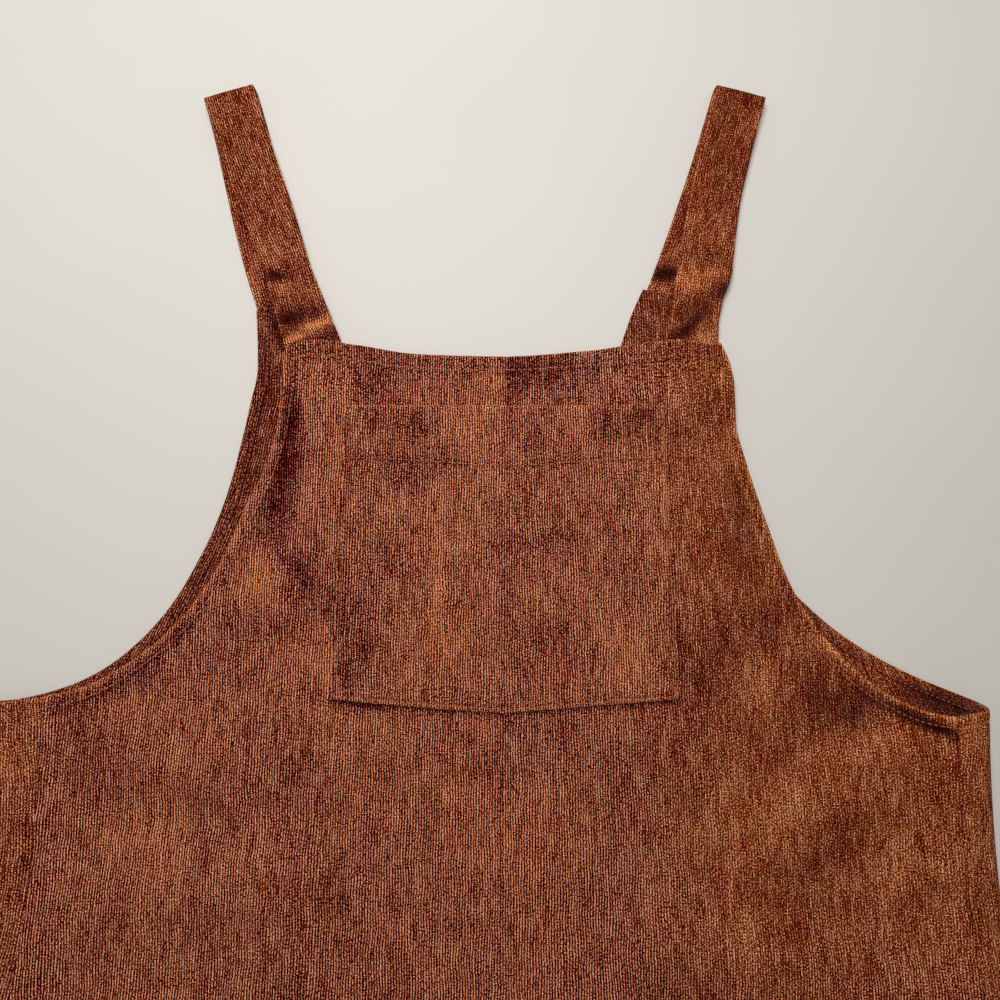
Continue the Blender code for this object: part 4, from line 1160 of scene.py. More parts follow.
def front_cut(side):
    """The flat points of a front half, and how far each lies from the top of the bib and the armhole."""
    edge = armhole_edge(side, FRONT_ARMHOLE, 0)
    below = np.concatenate([TOP_STEPS, np.linspace(13.0, BIB_TOP_Y - ROWS_START_Y, FRONT_UPPER_ROWS)])
    centre_y = BIB_TOP_Y - below
    pocket_y = front_row_at("pocket_y", centre_y)
    share = front_row_at("along", centre_y)
    centre = side_by_side(inner_line(side, CENTRE_FRONT, centre_y), centre_y)
    pocket = side_by_side(by_height(POCKET_SIDE[side], "out", pocket_y), pocket_y)
    hem = inside_seam(side, 0, inside_edge(edge, share, HEM_STEPS), HEM_STEPS)
    upper = front_rows(centre, pocket, hem)

    row_y = lower_rows()
    inseam = SEAM_GAP / 2.0 + INSEAM_RADIUS + INSEAM_RETURN
    inner = inner_line(side, CENTRE_FRONT, row_y) + inseam * smooth(2.0 * crotch_curl(row_y) - 1.0)
    centre = side_by_side(inner, row_y)
    seam_y = side_y(side, row_y)
    seam = side_by_side(side_seam(side, seam_y)[0], seam_y)
    last = upper[-1]
    pocket_share = (last[len(TO_POCKET) - 1, 0] - last[0, 0]) / (last[-1, 0] - last[0, 0])
    lower = front_rows(centre, centre + (seam - centre) * pocket_share, level_hem(seam))
    flat = joined_rows(side, 0, upper, lower)
    from_top = np.concatenate([below, np.full(len(flat) - len(below), FAR)])[:, None]
    return flat, from_top, from_edge(flat, edge)


def hem_share(from_top, from_armhole, from_leg):
    """Where the cloth is doubled in a turned hem: 1 inside it, 0 outside."""
    top = smooth((BIB_HEM + HEM_STEP - from_top) / HEM_STEP)
    side = smooth((ARMHOLE_HEM + HEM_STEP - from_armhole) / HEM_STEP)
    leg = smooth((LEG_HEM + HEM_STEP - from_leg) / HEM_STEP)
    return np.maximum(np.maximum(top, side), leg)


def sewn_relief(x, y, from_inner, from_armhole, from_seam, from_leg):
    """The relief of seams and hems on the face: pressed seams with the bulk of their allowances beside
    them, stitched grooves, and small puckers between the stitches and the edge."""
    relief = 0.0
    for away in (from_inner, from_seam):
        relief = relief - SEAM_GROOVE * bump(away, 1.5)
        relief = relief + ALLOWANCE_RELIEF * smooth((SEAM_ALLOWANCE - away) / 2.0)
    relief = relief - STITCH_GROOVE * bump(from_armhole - ARMHOLE_STITCH, 0.8)
    relief = relief + 0.2 * bump(from_armhole - 3.0, 2.4) - SEAM_GROOVE * bump(from_leg - LEG_STITCH, 0.9)
    pucker = cloud(y, x * 0.4, 6.5, 11) * bump(from_inner, 6.0)
    pucker = pucker + cloud(y, x * 0.4, 6.5, 15) * bump(from_seam, 6.0)
    pucker = pucker + cloud(y + x, x, 6.0, 12) * bump(from_armhole - 3.0, 5.0)
    pucker = pucker + cloud(x, y * 0.3, 7.0, 13) * bump(from_leg - 12.0, 12.0)
    return relief + PUCKER_RELIEF * pucker


def pocket_floor(x):
    """Where the pocket's lower edge lies: it sags a little on the left."""
    centre = by_height(CENTRE_FRONT, "x", POCKET_BOTTOM_Y)
    edges = (-POCKET_SIDE["left"][-2].out, centre, POCKET_SIDE["right"][-2].out)
    level = np.interp(x, edges, (POCKET_CORNER_Y, POCKET_BOTTOM_Y, POCKET_CORNER_Y))
    inwards = np.clip((x - edges[0]) / (edges[1] - edges[0]), 0.0, 1.0)
    return level - POCKET_SAG * np.sin(math.pi * inwards)


def make_front(side):
    """One front half: bib half, front and front of the leg in one piece."""
    flat, from_top, from_armhole = front_cut(side)
    x = sign(side) * flat[..., 0]
    y = flat[..., 1] + bib_top_rise(side, x, flat[..., 1])
    low = side_by_side(x, y, front_height(side, x, y))
    normals = grid_normals(low, True)
    from_inner = run_length(flat)
    from_seam = from_side_seam(side, 0, flat)
    from_leg = flat[..., 1] - LEG_HEM_Y
    wall = CLOTH + (HEM_WALL - CLOTH) * hem_share(from_top, from_armhole, from_leg)
    drop = rounded(np.minimum(np.minimum(from_top, from_armhole), from_leg), EDGE_ROUNDING * wall)
    relief = sewn_relief(x, y, from_inner, from_armhole, from_seam, from_leg)
    relief = relief - SEAM_GROOVE * bump(from_top - BIB_STITCH, 0.8)
    relief = relief + PUCKER_RELIEF * cloud(x, y * 0.3, 6.0, 14) * bump(from_top - 4.0, 5.0)
    outer = low + normals * (wall - drop + relief)[..., None]
    inner = low + normals * drop[..., None]
    cut = side_by_side(x, flat[..., 1])
    # Nap patches with their painted light and shade, and painted shading of the lamp on surfaces that face
    # it.
    nap = patches_at(FRONT_NAP_AND_PAINTED_LIGHT[side], x, y) + painted_lamp_shading(grid_normals(outer, True))
    nap = nap + 0.22 * cloud(x, y, 26.0, 21) + 0.18 * cloud(x, y, 60.0, 22)
    # A painted highlight along the armhole's rolled edge, partly pile parted at the fold, and a thin painted
    # highlight along the bib's top edge; the bib's hem a little darker, and the bib darker towards its top.
    nap = nap + 0.9 * (1.0 + 0.7 * cloud(x, y, 8.0, 26)) * bump(from_armhole - 0.7, 1.6)
    nap = nap + 0.6 * bump(from_top, 0.8) - 0.3 * smooth((BIB_HEM + 1.0 - from_top) / 2.0)
    nap = nap - 0.25 * smooth(y / 90.0)
    # A painted shadow on the front just below the pocket's lower edge; seams a little darker.
    nap = nap - 1.1 * bump(pocket_floor(x) - y - 0.9, 1.7) * (np.abs(x - 3.0) < 97.0)
    nap = nap - 0.5 * bump(from_inner, 0.9) - 0.4 * bump(from_seam, 0.9)
    pile = np.maximum(smooth(BIB_HEM + 0.5 - from_top), smooth(FACING_WIDTH + 0.5 - from_armhole))
    pile = np.maximum(pile, smooth(LEG_HEM + 0.5 - from_leg))
    obj = sheet_mesh("front_" + side, outer, inner, cut, cut, nap, np.zeros_like(nap), pile)
    hand_in(obj, "front_" + side)
    made["front_" + side] = Cloth(flat, outer, normals)
    return obj


def curl_at(side, y):
    """The curl along the inside of a leg: its length, turning angle, radius, return and reach."""
    share = np.maximum(crotch_curl(y), LEAST_CURL)
    length = FLAT_CURL + (math.pi * INSEAM_RADIUS - FLAT_CURL) * share
    angle = share * math.pi
    radius = length / angle
    back = INSEAM_RETURN * share
    reach = np.where(angle < math.pi / 2.0, radius * np.sin(angle) + back * np.cos(angle), radius)
    return length, angle, radius, back, reach


def back_point(side, along_cloth, y):
    """Rolls a flat point of the back round the side fold and the inside of the leg."""
    start, radius, _ = roll_at(side, y)
    length, angle, curl_radius, _, reach = curl_at(side, y)
    curl_start = inner_line(side, CENTRE_BACK, y) + reach
    curled = np.maximum(curl_start - along_cloth, 0.0)
    turn_in = np.minimum(curled / length, 1.0) * angle
    beyond_in = np.maximum(curled - length, 0.0)
    turn_out = np.clip((along_cloth - start) / radius, 0.0, math.pi)
    beyond_out = np.maximum(along_cloth - start - math.pi * radius, 0.0)
    out = np.clip(along_cloth, curl_start, start)
    out = out - curl_radius * np.sin(turn_in) - beyond_in * np.cos(angle)
    out = out + radius * np.sin(turn_out) - beyond_out
    x = sign(side) * out
    top = front_height(side, x, y) + CLOTH
    turn = np.maximum(turn_in, turn_out)
    height = top * (1.0 - np.cos(turn)) / 2.0
    height = np.where(beyond_out > 0.0, top, height)
    height = np.where(beyond_in > 0.0, height + (top - height) * smooth(2.0 * crotch_curl(y) - 1.0), height)
    lift = np.maximum(folds_at(BACK_LIFTS, x, y), 0.0) + 0.12 * (1.0 + cloud(x, y, 33.0, 31))
    lift = np.minimum(lift * bpy.context.scene.overalls_cloth.crease_strength, 0.2 + 0.8 * settled(x, y))
    return side_by_side(x, y, height + lift * np.clip(np.cos(turn), 0.0, 1.0) ** 2)


def back_columns(side, inner, step_in):
    """Where a back row's columns lie along its cloth: the inseam's curl, the flat, and the side roll."""
    length, _, _, back, _ = curl_at(side, inner[1])
    start, radius, _ = roll_at(side, step_in[1])
    curl_start = inner[0] + max(float(back), 1.0)
    curl_end = inner[0] + float(back + length)
    lead = min(ROLL_LEAD, (step_in[0] - curl_end) / 2.0)
    roll_start = min(float(start), step_in[0] - lead)
    roll_end = min(float(start + math.pi * radius), step_in[0] - HEM_STEP)
    parts = [
        inner[0] + (curl_start - inner[0]) * np.array([0.0, 0.03, 0.08, 0.16, 0.3, 0.6]),
        np.linspace(curl_start, curl_end, 9)[:-1],
        np.linspace(curl_end, roll_start, 48)[:-1],
        np.linspace(roll_start, roll_end, 18)[:-1],
        np.linspace(roll_end, step_in[0], 4)[:-1],
    ]
    return np.concatenate(parts)


def back_cut(side):
    """The flat points of a back half along its cloth, which of its rows start at the neckline, and how far
    each point lies from the armhole."""
    edge = armhole_edge(side, BACK_ARMHOLE, 1)
    offset = sign(side) * CENTRE_BACK_X
    neckline = [Point(point.out + offset, point.y) for point in BACK_NECKLINE]
    neck_length = np.hypot(*np.diff(np.array(neckline), axis=0).T).sum()
    seam_length = neckline[-1].y - ROWS_START_Y
    total = neck_length + seam_length
    below = np.concatenate([EDGE_STEPS, np.linspace(5.2, total, BACK_UPPER_ROWS)])
    inner_share = below / total
    outer_share = np.interp(inner_share, BACK_ROWS_INNER, BACK_ROWS_OUTER)
    neck = along(neckline, np.minimum(below / neck_length, 1.0))
    seam_y = neckline[-1].y - np.maximum(below - neck_length, 0.0)
    seam = side_by_side(inner_line(side, CENTRE_BACK, seam_y), seam_y)
    inner = np.where((below < neck_length)[:, None], neck, seam)
    strap_seam = neck[0] - np.array(edge[0])
    hem = inside_seam(side, 1, inside_edge(edge, outer_share, HEM_STEPS, strap_seam), HEM_STEPS)

    row_y = lower_rows()
    length, _, _, back, reach = curl_at(side, row_y)
    lower_inner = side_by_side(inner_line(side, CENTRE_BACK, row_y) + reach - length - back, row_y)
    end_y = side_y(side, row_y)
    lower_hem = level_hem(side_by_side(side_seam(side, end_y)[1], end_y))

    grids = []
    bends = 1.0 + 1.2 * smooth((inner_share - 0.5) / 0.4)
    for starts, hems, powers in ((inner, hem, bends), (lower_inner, lower_hem, np.ones(len(row_y)))):
        rows = []
        for first, last, power in zip(starts, hems, powers):
            columns = back_columns(side, first, last[0])
            shares = (columns - first[0]) / (last[0, 0] - first[0])
            run = side_by_side(shares, shares**power)
            rows.append(np.concatenate([first + (last[0] - first) * run, last]))
        grids.append(np.array(rows))
    flat = joined_rows(side, 1, *grids)
    # The row that ends at the underarm is let down a little, clear of the row before it.
    inwards = np.concatenate([np.ones(flat.shape[1] - len(HEM_STEPS)), np.array(HEM_STEPS) / HEM_STEPS[0]])
    flat[len(below) - 1, :, 1] -= UNDERARM_EASE * inwards
    from_neck = np.concatenate([below < neck_length, np.zeros(len(flat) - len(below), bool)])[:, None]
    return flat, from_neck, from_edge(flat, edge)


def facing_lean(y):
    """How far the ribs of the armhole's facing have drifted out at this height: they half follow the edge."""
    return np.interp(-y, FACING_LEAN_STATIONS, FACING_LEANS)


def make_back(side):
    """One back half: it lies on the table, and rolls over the side fold to the side seam."""
    flat, at_neck, from_armhole = back_cut(side)
    base = back_point(side, flat[..., 0], flat[..., 1])
    normals = grid_normals(base, False)
    from_inner = run_length(flat)
    from_seam = from_side_seam(side, 1, flat)
    from_leg = flat[..., 1] - LEG_HEM_Y
    from_neck = np.where(at_neck, from_inner, FAR)
    wall = CLOTH + (HEM_WALL - CLOTH) * hem_share(FAR, from_armhole, from_leg)
    drop = rounded(np.minimum(np.minimum(from_neck, from_armhole), from_leg), EDGE_ROUNDING * wall)
    x, y = base[..., 0], base[..., 1]
    relief = sewn_relief(x, y, np.where(at_neck, FAR, from_inner), from_armhole, from_seam, from_leg)
    above_table = np.minimum(relief - 0.3, 0.0)
    rolled = smooth(base[..., 2] / 2.0)
    relief = above_table + (relief - above_table) * rolled
    facing = smooth(FACING_WIDTH + 0.5 - from_armhole)
    inside = 0.3 * facing - 0.4 * bump(from_armhole - 6.4, 0.9) + 0.25 * bump(from_armhole - 3.0, 2.5)
    outer = base - normals * (drop - relief)[..., None]
    inner = base - normals * (wall - drop + inside)[..., None]
    cut = side_by_side(sign(side) * flat[..., 0], flat[..., 1])
    face_cut = side_by_side(flat[..., 0] - facing_lean(flat[..., 1]), flat[..., 1])
    inner_cut = np.where(facing[..., None] > 0.5, face_cut, cut)
    # Painted shading of the lamp on surfaces that face it, and soft clouds of tone.
    nap = painted_lamp_shading(grid_normals(outer, False)) * 0.6 + 0.3 * cloud(x, y, 30.0, 23)
    nap = nap + 0.25 * cloud(x, y, 70.0, 24) - 0.5 * bump(from_inner, 0.9) * ~at_neck
    # Inside the armhole facing: the band's patches with painted shade, a painted highlight along the edge and
    # a painted dark line of shade in the stitched trough.
    inner_nap_and_painted_light = patches_at(BAND_NAP_AND_PAINTED_LIGHT[side], x, y) + 0.2 * cloud(x, y, 18.0, 25) - 0.65
    inner_nap_and_painted_light = inner_nap_and_painted_light + 0.4 * bump(from_armhole, 1.0) - 0.9 * bump(from_armhole - 6.4, 0.9)
    pile = np.maximum(facing, smooth(y - FACING_TOP_Y))
    pile = np.maximum(pile, smooth(LEG_HEM + 0.5 - from_leg))
    obj = sheet_mesh("back_" + side, outer, inner, cut, inner_cut, nap, inner_nap_and_painted_light, pile, BACK_CRUSHED)
    hand_in(obj, "back_" + side)
    made["back_" + side] = Cloth(flat, outer, normals)
    made["back_inside_" + side] = Cloth(flat, inner, -normals)
    return obj


def make_pocket():
    """The patch pocket: its mouth is open at the top, and its other edges are turned under and sewn down."""
    steps = np.array(EDGE_STEPS)
    depth = POCKET_TOP_Y - POCKET_BOTTOM_Y
    below = np.concatenate([steps, np.linspace(5.0, depth - 5.0, 82), depth - steps[::-1]])
    centre_y = POCKET_TOP_Y - below
    side_line_y = front_row_at("pocket_y", centre_y)
    centres = by_height(CENTRE_FRONT, "x", centre_y)
    inwards = np.concatenate([steps / POCKET_HALF_WIDTH, np.linspace(0.056, 1.0, 44)])
    halves = []
    for side in SIDES:
        edge = side_by_side(sign(side) * by_height(POCKET_SIDE[side], "out", side_line_y), side_line_y)
        halves.append(spread_points(edge, side_by_side(centres, centre_y), inwards))
    half, other = halves
    sag = POCKET_SAG * smooth((below - 120.0) / (depth - 120.0))[:, None] * np.sin(math.pi * inwards)[None, :]
    half[..., 1] -= sag
    flat = np.concatenate([half[:, :-1], other[:, ::-1]], axis=1)
    x, y = flat[..., 0], flat[..., 1]
    from_centre = x - centres[:, None]
    on_right = smooth(from_centre / 16.0 + 0.5)
    carried = front_height("left", x, y) * (1.0 - on_right) + front_height("right", x, y) * on_right
    from_left = run_length(flat)
    from_right = from_left[:, -1:] - from_left
    from_mouth = np.repeat(below[:, None], flat.shape[1], axis=1)
    sewn = np.minimum(np.minimum(from_left, from_right), depth - from_mouth)
    hem_y = POCKET_HEM_Y - POCKET_HEM_DIP * bump(from_centre, 55.0)
    mouth_hem = smooth((y - hem_y) / HEM_STEP + 0.5)
    wall = CLOTH + (HEM_WALL - CLOTH) * np.maximum(mouth_hem, 0.7 * smooth((8.0 - sewn) / HEM_STEP))
    puff = 0.8 * smooth((sewn - 2.0) / 9.0) + 0.35 * cloud(x, y, 27.0, 41) * smooth((sewn - 3.0) / 12.0)
    puff = puff + 0.5 * smooth(1.0 - from_mouth / 22.0) * smooth((sewn - 4.0) / 20.0)
    creases = folds_at(POCKET_CREASES, x, y) * smooth((sewn - 2.0) / 8.0)
    low = side_by_side(x, y, carried + CLOTH + POCKET_LIFT + np.maximum(puff + creases, 0.0))
    normals = grid_normals(low, True)
    drop = rounded(np.minimum(sewn, from_mouth), EDGE_ROUNDING * wall)
    relief = -SEAM_GROOVE * bump(sewn - POCKET_STITCH, 0.7) * (from_mouth > 1.5)
    relief = relief - STITCH_GROOVE * bump(y - hem_y, 0.8)
    relief = relief + 0.18 * cloud(y, x, 6.0, 42) * bump(sewn - 4.0, 4.0)
    outer = low + normals * (wall - drop + relief)[..., None]
    inner = low + normals * drop[..., None]
    cut = side_by_side(x + 0.6, y)
    # Painted shading of the lamp, painted highlights along the turned edges and the mouth, painted shade just
    # inside the left and right edges and in the mouth hem's stitched groove, and darker towards the top.
    nap = patches_at(POCKET_NAP_AND_PAINTED_LIGHT, x, y) + painted_lamp_shading(grid_normals(outer, True))
    nap = nap + 0.25 * cloud(x, y, 24.0, 43) + 0.5 * bump(sewn, 0.8) - 0.9 * bump(from_left - 2.0, 1.2)
    nap = nap - 0.12 * smooth((y + 20.0) / 70.0) - 0.25 * bump(y - hem_y, 1.4)
    nap = nap + 0.5 * bump(from_mouth - 1.0, 1.2) - 0.6 * bump(from_right - 2.0, 1.2)
    pile = mouth_hem
    obj = sheet_mesh("bib_pocket", outer, inner, cut, cut, nap, np.zeros_like(nap), pile, POCKET_CRUSHED)
    hand_in(obj, "bib_pocket")
    made["pocket"] = Cloth(flat, outer, normals)
    made["pocket_hem_y"] = hem_y
    return obj


def lean_to_heading(lean):
    return np.array([math.sin(math.radians(lean)), math.cos(math.radians(lean))])


def strap_run(start, start_lean, end, end_lean, steps):
    """Centre points and headings of a strap between two places, as one easy curve."""
    start = np.array(start)
    run = np.array(end) - start
    reach = math.hypot(*run)
    slope_in = lean_to_heading(start_lean) * reach
    slope_out = lean_to_heading(end_lean) * reach
    for share in np.linspace(0.0, 1.0, steps + 1):
        leave = share * (1.0 - share) ** 2
        arrive = -share * share * (1.0 - share)
        centre = start + run * smooth(share) + slope_in * leave + slope_out * arrive
        ease_slope = 6.0 * share * (1.0 - share)
        leave_slope = (1.0 - share) * (1.0 - 3.0 * share)
        arrive_slope = share * (3.0 * share - 2.0)
        heading = run * ease_slope + slope_in * leave_slope + slope_out * arrive_slope
        yield centre, heading / math.hypot(*heading)


def strap_rows(side):
    """Centre, heading, height and progress of each row, and whether it lies in front: up the back, over the
    shoulder, down behind the bib."""
    strap = STRAPS[side]
    fold = np.array(strap.fold)
    low = STRAP_LIFT + STRAP_WALL
    turned = 2.0 * STRAP_FOLD_RADIUS
    rows = []
    up = strap_run(strap.tab, strap.tab_lean, strap.fold, strap.fold_lean, STRAP_BACK_ROWS)
    for index, (centre, heading) in enumerate(up):
        if index == 0:
            centre = centre - heading * STRAP_SEAM_REACH
        rows.append((centre, heading, 0.0, 10.0 * index / STRAP_BACK_ROWS, 0.0))
    heading = lean_to_heading(strap.fold_lean)
    for step in range(1, STRAP_TURN_ROWS):
        angle = math.pi * step / STRAP_TURN_ROWS
        centre = fold + heading * STRAP_FOLD_RADIUS * math.sin(angle)
        height = STRAP_FOLD_RADIUS * (1.0 - math.cos(angle))
        rows.append((centre, heading, height, 10.0 + 6.0 * step / STRAP_TURN_ROWS, 0.0))
    front = list(strap_run(strap.bib, strap.bib_lean, strap.fold, strap.fold_lean, STRAP_FRONT_ROWS))[::-1]
    for index, (centre, heading) in enumerate(front):
        drop = smooth((fold[1] - centre[1]) / STRAP_DROP)
        over_tab = smooth((strap.tab[1] - centre[1]) / STRAP_TUCK)
        height = turned + (low + STRAP_CLEAR - turned) * drop - STRAP_CLEAR * over_tab
        rows.append((centre, heading, float(height), 16.0 + 10.0 * index / STRAP_FRONT_ROWS, 1.0))
    bib, heading = front[-1]
    for step in range(1, STRAP_TUCK_ROWS + 1):
        rows.append((bib - heading * STRAP_TUCK * step / STRAP_TUCK_ROWS, heading, low, 26.0, 1.0))
    return rows


def make_strap(side):
    """One shoulder strap: a doubled band, sewn to the back and tucked behind the top of the bib."""
    strap = STRAPS[side]
    pinches = STRAP_PINCHES[side]
    edges = np.array(EDGE_STEPS)
    middle = np.linspace(5.0, STRAP_WIDTH - 5.0, 14)
    shares = np.concatenate([edges, middle, STRAP_WIDTH - edges[::-1]]) / STRAP_WIDTH - 0.5
    points = []
    fronts = []
    for centre, heading, height, step, front in strap_rows(side):
        across = np.array([heading[1], -heading[0]])
        width = STRAP_TAB_WIDTH + (STRAP_WIDTH - STRAP_TAB_WIDTH) * smooth(step / 20.0)
        x = centre[0] + across[0] * width * shares
        y = centre[1] + across[1] * width * shares
        left = np.interp(y, [pinch.y for pinch in pinches], [pinch.left for pinch in pinches])
        right = np.interp(y, [pinch.y for pinch in pinches], [pinch.right for pinch in pinches])
        x = x + front * (left * (0.5 - shares) + right * (0.5 + shares))
        ridges = front * folds_at(STRAP_FOLDS, x, y) * smooth((y - strap.bib[1]) / STRAP_RIDGE_FADE + 0.4)
        points.append(side_by_side(x, y, height + np.maximum(ridges, -0.4)))
        fronts.append([front])
    base = np.array(points)
    front = np.array(fronts)
    normals = grid_normals(base, True)
    if normals[-40, 10, 2] < 0.0:
        normals = -normals
    lengths = np.concatenate([[0.0], np.cumsum(np.linalg.norm(np.diff(base[:, 10], axis=0), axis=-1))])
    widths = run_length(base)
    from_side = np.minimum(widths, widths[:, -1:] - widths)
    from_end = (lengths[-1] - lengths)[:, None]
    drop = rounded(np.minimum(from_side, from_end), STRAP_EDGE_ROUNDING * STRAP_WALL)
    x, y = base[..., 0], base[..., 1]
    soft = 0.12 * cloud(lengths[:, None], widths, 15.0, 51) * smooth(from_side / 4.0)
    flat = side_by_side(widths, np.repeat(lengths[:, None], widths.shape[1], axis=1))
    outer = base + normals * (soft * smooth(base[..., 2] / 2.0) - drop)[..., None]
    inner = base - normals * (STRAP_WALL - drop + soft)[..., None]
    # Front run: painted light and shade of the fold ridges and painted shading of the lamp; both runs get
    # painted highlights along their rounded edges, and the back run a painted shadow of the front run.
    nap = front * patches_at(STRAP_NAP_AND_PAINTED_LIGHT[side], x, y) + painted_lamp_shading(grid_normals(outer, True)) * front
    nap = nap + 0.3 * cloud(x, y, 17.0, 52) + 0.35 * bump(from_side, 0.9) - 0.35
    inner_nap_and_painted_light = (1.0 - front) * patches_at(STRAP_BACK_NAP_AND_PAINTED_LIGHT[side], x, y) + 0.3 * cloud(x, y, 17.0, 53) - 0.35
    inner_nap_and_painted_light = inner_nap_and_painted_light + 0.35 * bump(from_side, 0.9)
    pile = np.ones_like(nap)
    obj = sheet_mesh("strap_" + side, outer, inner, flat, flat, nap, inner_nap_and_painted_light, pile, STRAP_CRUSHED)
    hand_in(obj, "strap_" + side)
    return obj


def stitch_lines():
    """The lines of topstitching, each as points and normals on the cloth."""
    places = []
    bib_row = TOP_STEPS.index(BIB_STITCH)
    leg_row = LEG_STEPS.index(LEG_STITCH) - len(LEG_STEPS)
    armhole = HEM_STEPS.index(ARMHOLE_STITCH) - len(HEM_STEPS)
    front_rows_down = slice(bib_row + 1, len(TOP_STEPS) + FRONT_UPPER_ROWS)
    back_rows_down = slice(4, len(EDGE_STEPS) + BACK_UPPER_ROWS)
    for side in SIDES:
        front, back, inside = (made[face + side] for face in ("front_", "back_", "back_inside_"))
        places += [
            (front, bib_row, slice(2, -6), 0.0),
            (front, front_rows_down, armhole, ARMHOLE_SINK),
            (front, leg_row, slice(1, -1), 0.0),
            (back, leg_row, slice(1, -1), 0.0),
            (back, back_rows_down, armhole, 0.0),
            (inside, back_rows_down, armhole, ARMHOLE_SINK),
        ]
    pocket = made["pocket"]
    inset = EDGE_STEPS.index(POCKET_STITCH)
    down = slice(3, -inset - 1)
    across = slice(inset, -inset)
    places += [
        (pocket, down, inset, 0.0),
        (pocket, -inset - 1, across, 0.0),
        (pocket, down, -inset - 1, 0.0),
    ]
    lines = []
    for cloth, row, column, sink in places:
        normals = cloth.normals[row, column]
        lines.append((cloth.points[row, column] - normals * sink, normals))
    columns = np.arange(pocket.flat.shape[1])[across]
    nearest = np.argmin(np.abs(pocket.flat[..., 1] - made["pocket_hem_y"]), axis=0)[columns]
    hem = pocket.points[nearest, columns]
    hem[:, 1] = made["pocket_hem_y"][nearest, columns]
    hem[:, 2] += POCKET_HEM_THREAD_LIFT
    lines.append((hem, pocket.normals[nearest, columns]))
    return lines


def stitch_tree():
    """Geometry Nodes that lay short rounded stitches along lines on the cloth."""
    tree = bpy.data.node_groups.new("stitches", "GeometryNodeTree")
    for name, kind in (
        ("Geometry", "NodeSocketGeometry"),
        ("Stitch length", "NodeSocketFloat"),
        ("Stitch pitch", "NodeSocketFloat"),
        ("Thread width", "NodeSocketFloat"),
        ("Seed", "NodeSocketInt"),
        ("Thread", "NodeSocketMaterial"),
    ):
        tree.interface.new_socket(name, in_out="INPUT", socket_type=kind)
    tree.interface.new_socket("Geometry", in_out="OUTPUT", socket_type="NodeSocketGeometry")
    quarter_turn = (0.0, math.pi / 2.0, 0.0)
    given = {socket.name: socket for socket in add_node(tree, "NodeGroupInput", {}, {}, {}).outputs}
    recipe = (
        ("line", ("GeometryNodeMeshToCurve", {}), {"Mesh": "Geometry"}),
        (
            "spaced",
            ("GeometryNodeResampleCurve", {"mode": "LENGTH"}),
            {"Curve": "line", "Length": "Stitch pitch"},
        ),
        ("tangent", ("GeometryNodeInputTangent", {}), {}),
        ("normal", ("GeometryNodeInputNamedAttribute", {"data_type": "FLOAT_VECTOR"}), {"Name": "upright"}),
        ("standing", (ALIGN, {"axis": "Z"}), {"Vector": "normal"}),
        ("turned", (ALIGN, {"axis": "X", "pivot_axis": "Z"}), {"Rotation": "standing", "Vector": "tangent"}),
        ("share", ("FunctionNodeRandomValue", {"data_type": "FLOAT"}), {2: 0.86, 3: 1.1, "Seed": "Seed"}, 1),
        ("long", TIMES, {0: "share", 1: "Stitch length"}),
        ("size", JOIN, {"X": "long", "Y": "Thread width", "Z": "Thread width"}),
        ("ball", ("GeometryNodeMeshUVSphere", {}), {"Segments": 6, "Rings": 5, "Radius": 0.5}),
        ("stitch", ("GeometryNodeTransform", {}), {"Geometry": "ball", "Rotation": quarter_turn}),
        (
            "laid",
            ("GeometryNodeInstanceOnPoints", {}),
            {"Points": "spaced", "Instance": "stitch", "Rotation": "turned", "Scale": "size"},
        ),
        ("real", ("GeometryNodeRealizeInstances", {}), {"Geometry": "laid"}),
        ("smoothed", ("GeometryNodeSetShadeSmooth", {}), {"Geometry": "real"}),
        ("coloured", ("GeometryNodeSetMaterial", {}), {"Geometry": "smoothed", "Material": "Thread"}),
    )
    add_node(tree, "NodeGroupOutput", {}, {0: "coloured"}, add_recipe(tree, recipe, given))
    return tree


def make_stitching(settings):
    """All the topstitching, as one plain mesh."""
    points = []
    normals = []
    edges = []
    for line, upright in stitch_lines():
        start = len(points)
        points.extend(placed(line + upright * THREAD_LIFT).tolist())
        normals.extend(upright.tolist())
        edges.extend((index, index + 1) for index in range(start, len(points) - 1))
    guide_mesh = bpy.data.meshes.new("stitch_lines")
    guide_mesh.from_pydata(points, edges, [])
    attribute = guide_mesh.attributes.new("upright", "FLOAT_VECTOR", "POINT")
    attribute.data.foreach_set("vector", np.array(normals).ravel())
    guide = add_object("stitch_lines", guide_mesh)
    tree = stitch_tree()
    modifier = guide.modifiers.new("stitches", "NODES")
    modifier.node_group = tree
    values = {
        "Stitch length": settings.stitch_length,
        "Stitch pitch": settings.stitch_pitch,
        "Thread width": settings.thread_width,
        "Seed": settings.seed,
        "Thread": shared_material("thread", thread_material, settings),
    }
    for item in tree.interface.items_tree:
        if item.in_out == "INPUT" and item.name in values:
            modifier[item.identifier] = values[item.name]
    evaluated = guide.evaluated_get(bpy.context.evaluated_depsgraph_get())
    mesh = bpy.data.meshes.new_from_object(evaluated)
    mesh.name = "topstitching"
    guide.modifiers.remove(modifier)
    bpy.data.objects.remove(guide)
    obj = add_object("topstitching", mesh)
    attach(obj, BODY)
    return obj


class OVERALLS_OT_backs(Operator):
    """Makes the two back halves, which lie on the table"""

    bl_idname = "overalls.make_backs"
    bl_label = "Make the backs"

    def execute(self, context):
        for side in SIDES:
            make_back(side)
        return {"FINISHED"}


class OVERALLS_OT_fronts(Operator):
    """Makes the two front halves with the bib"""

    bl_idname = "overalls.make_fronts"
    bl_label = "Make the fronts"

    def execute(self, context):
        for side in SIDES:
            make_front(side)
        return {"FINISHED"}


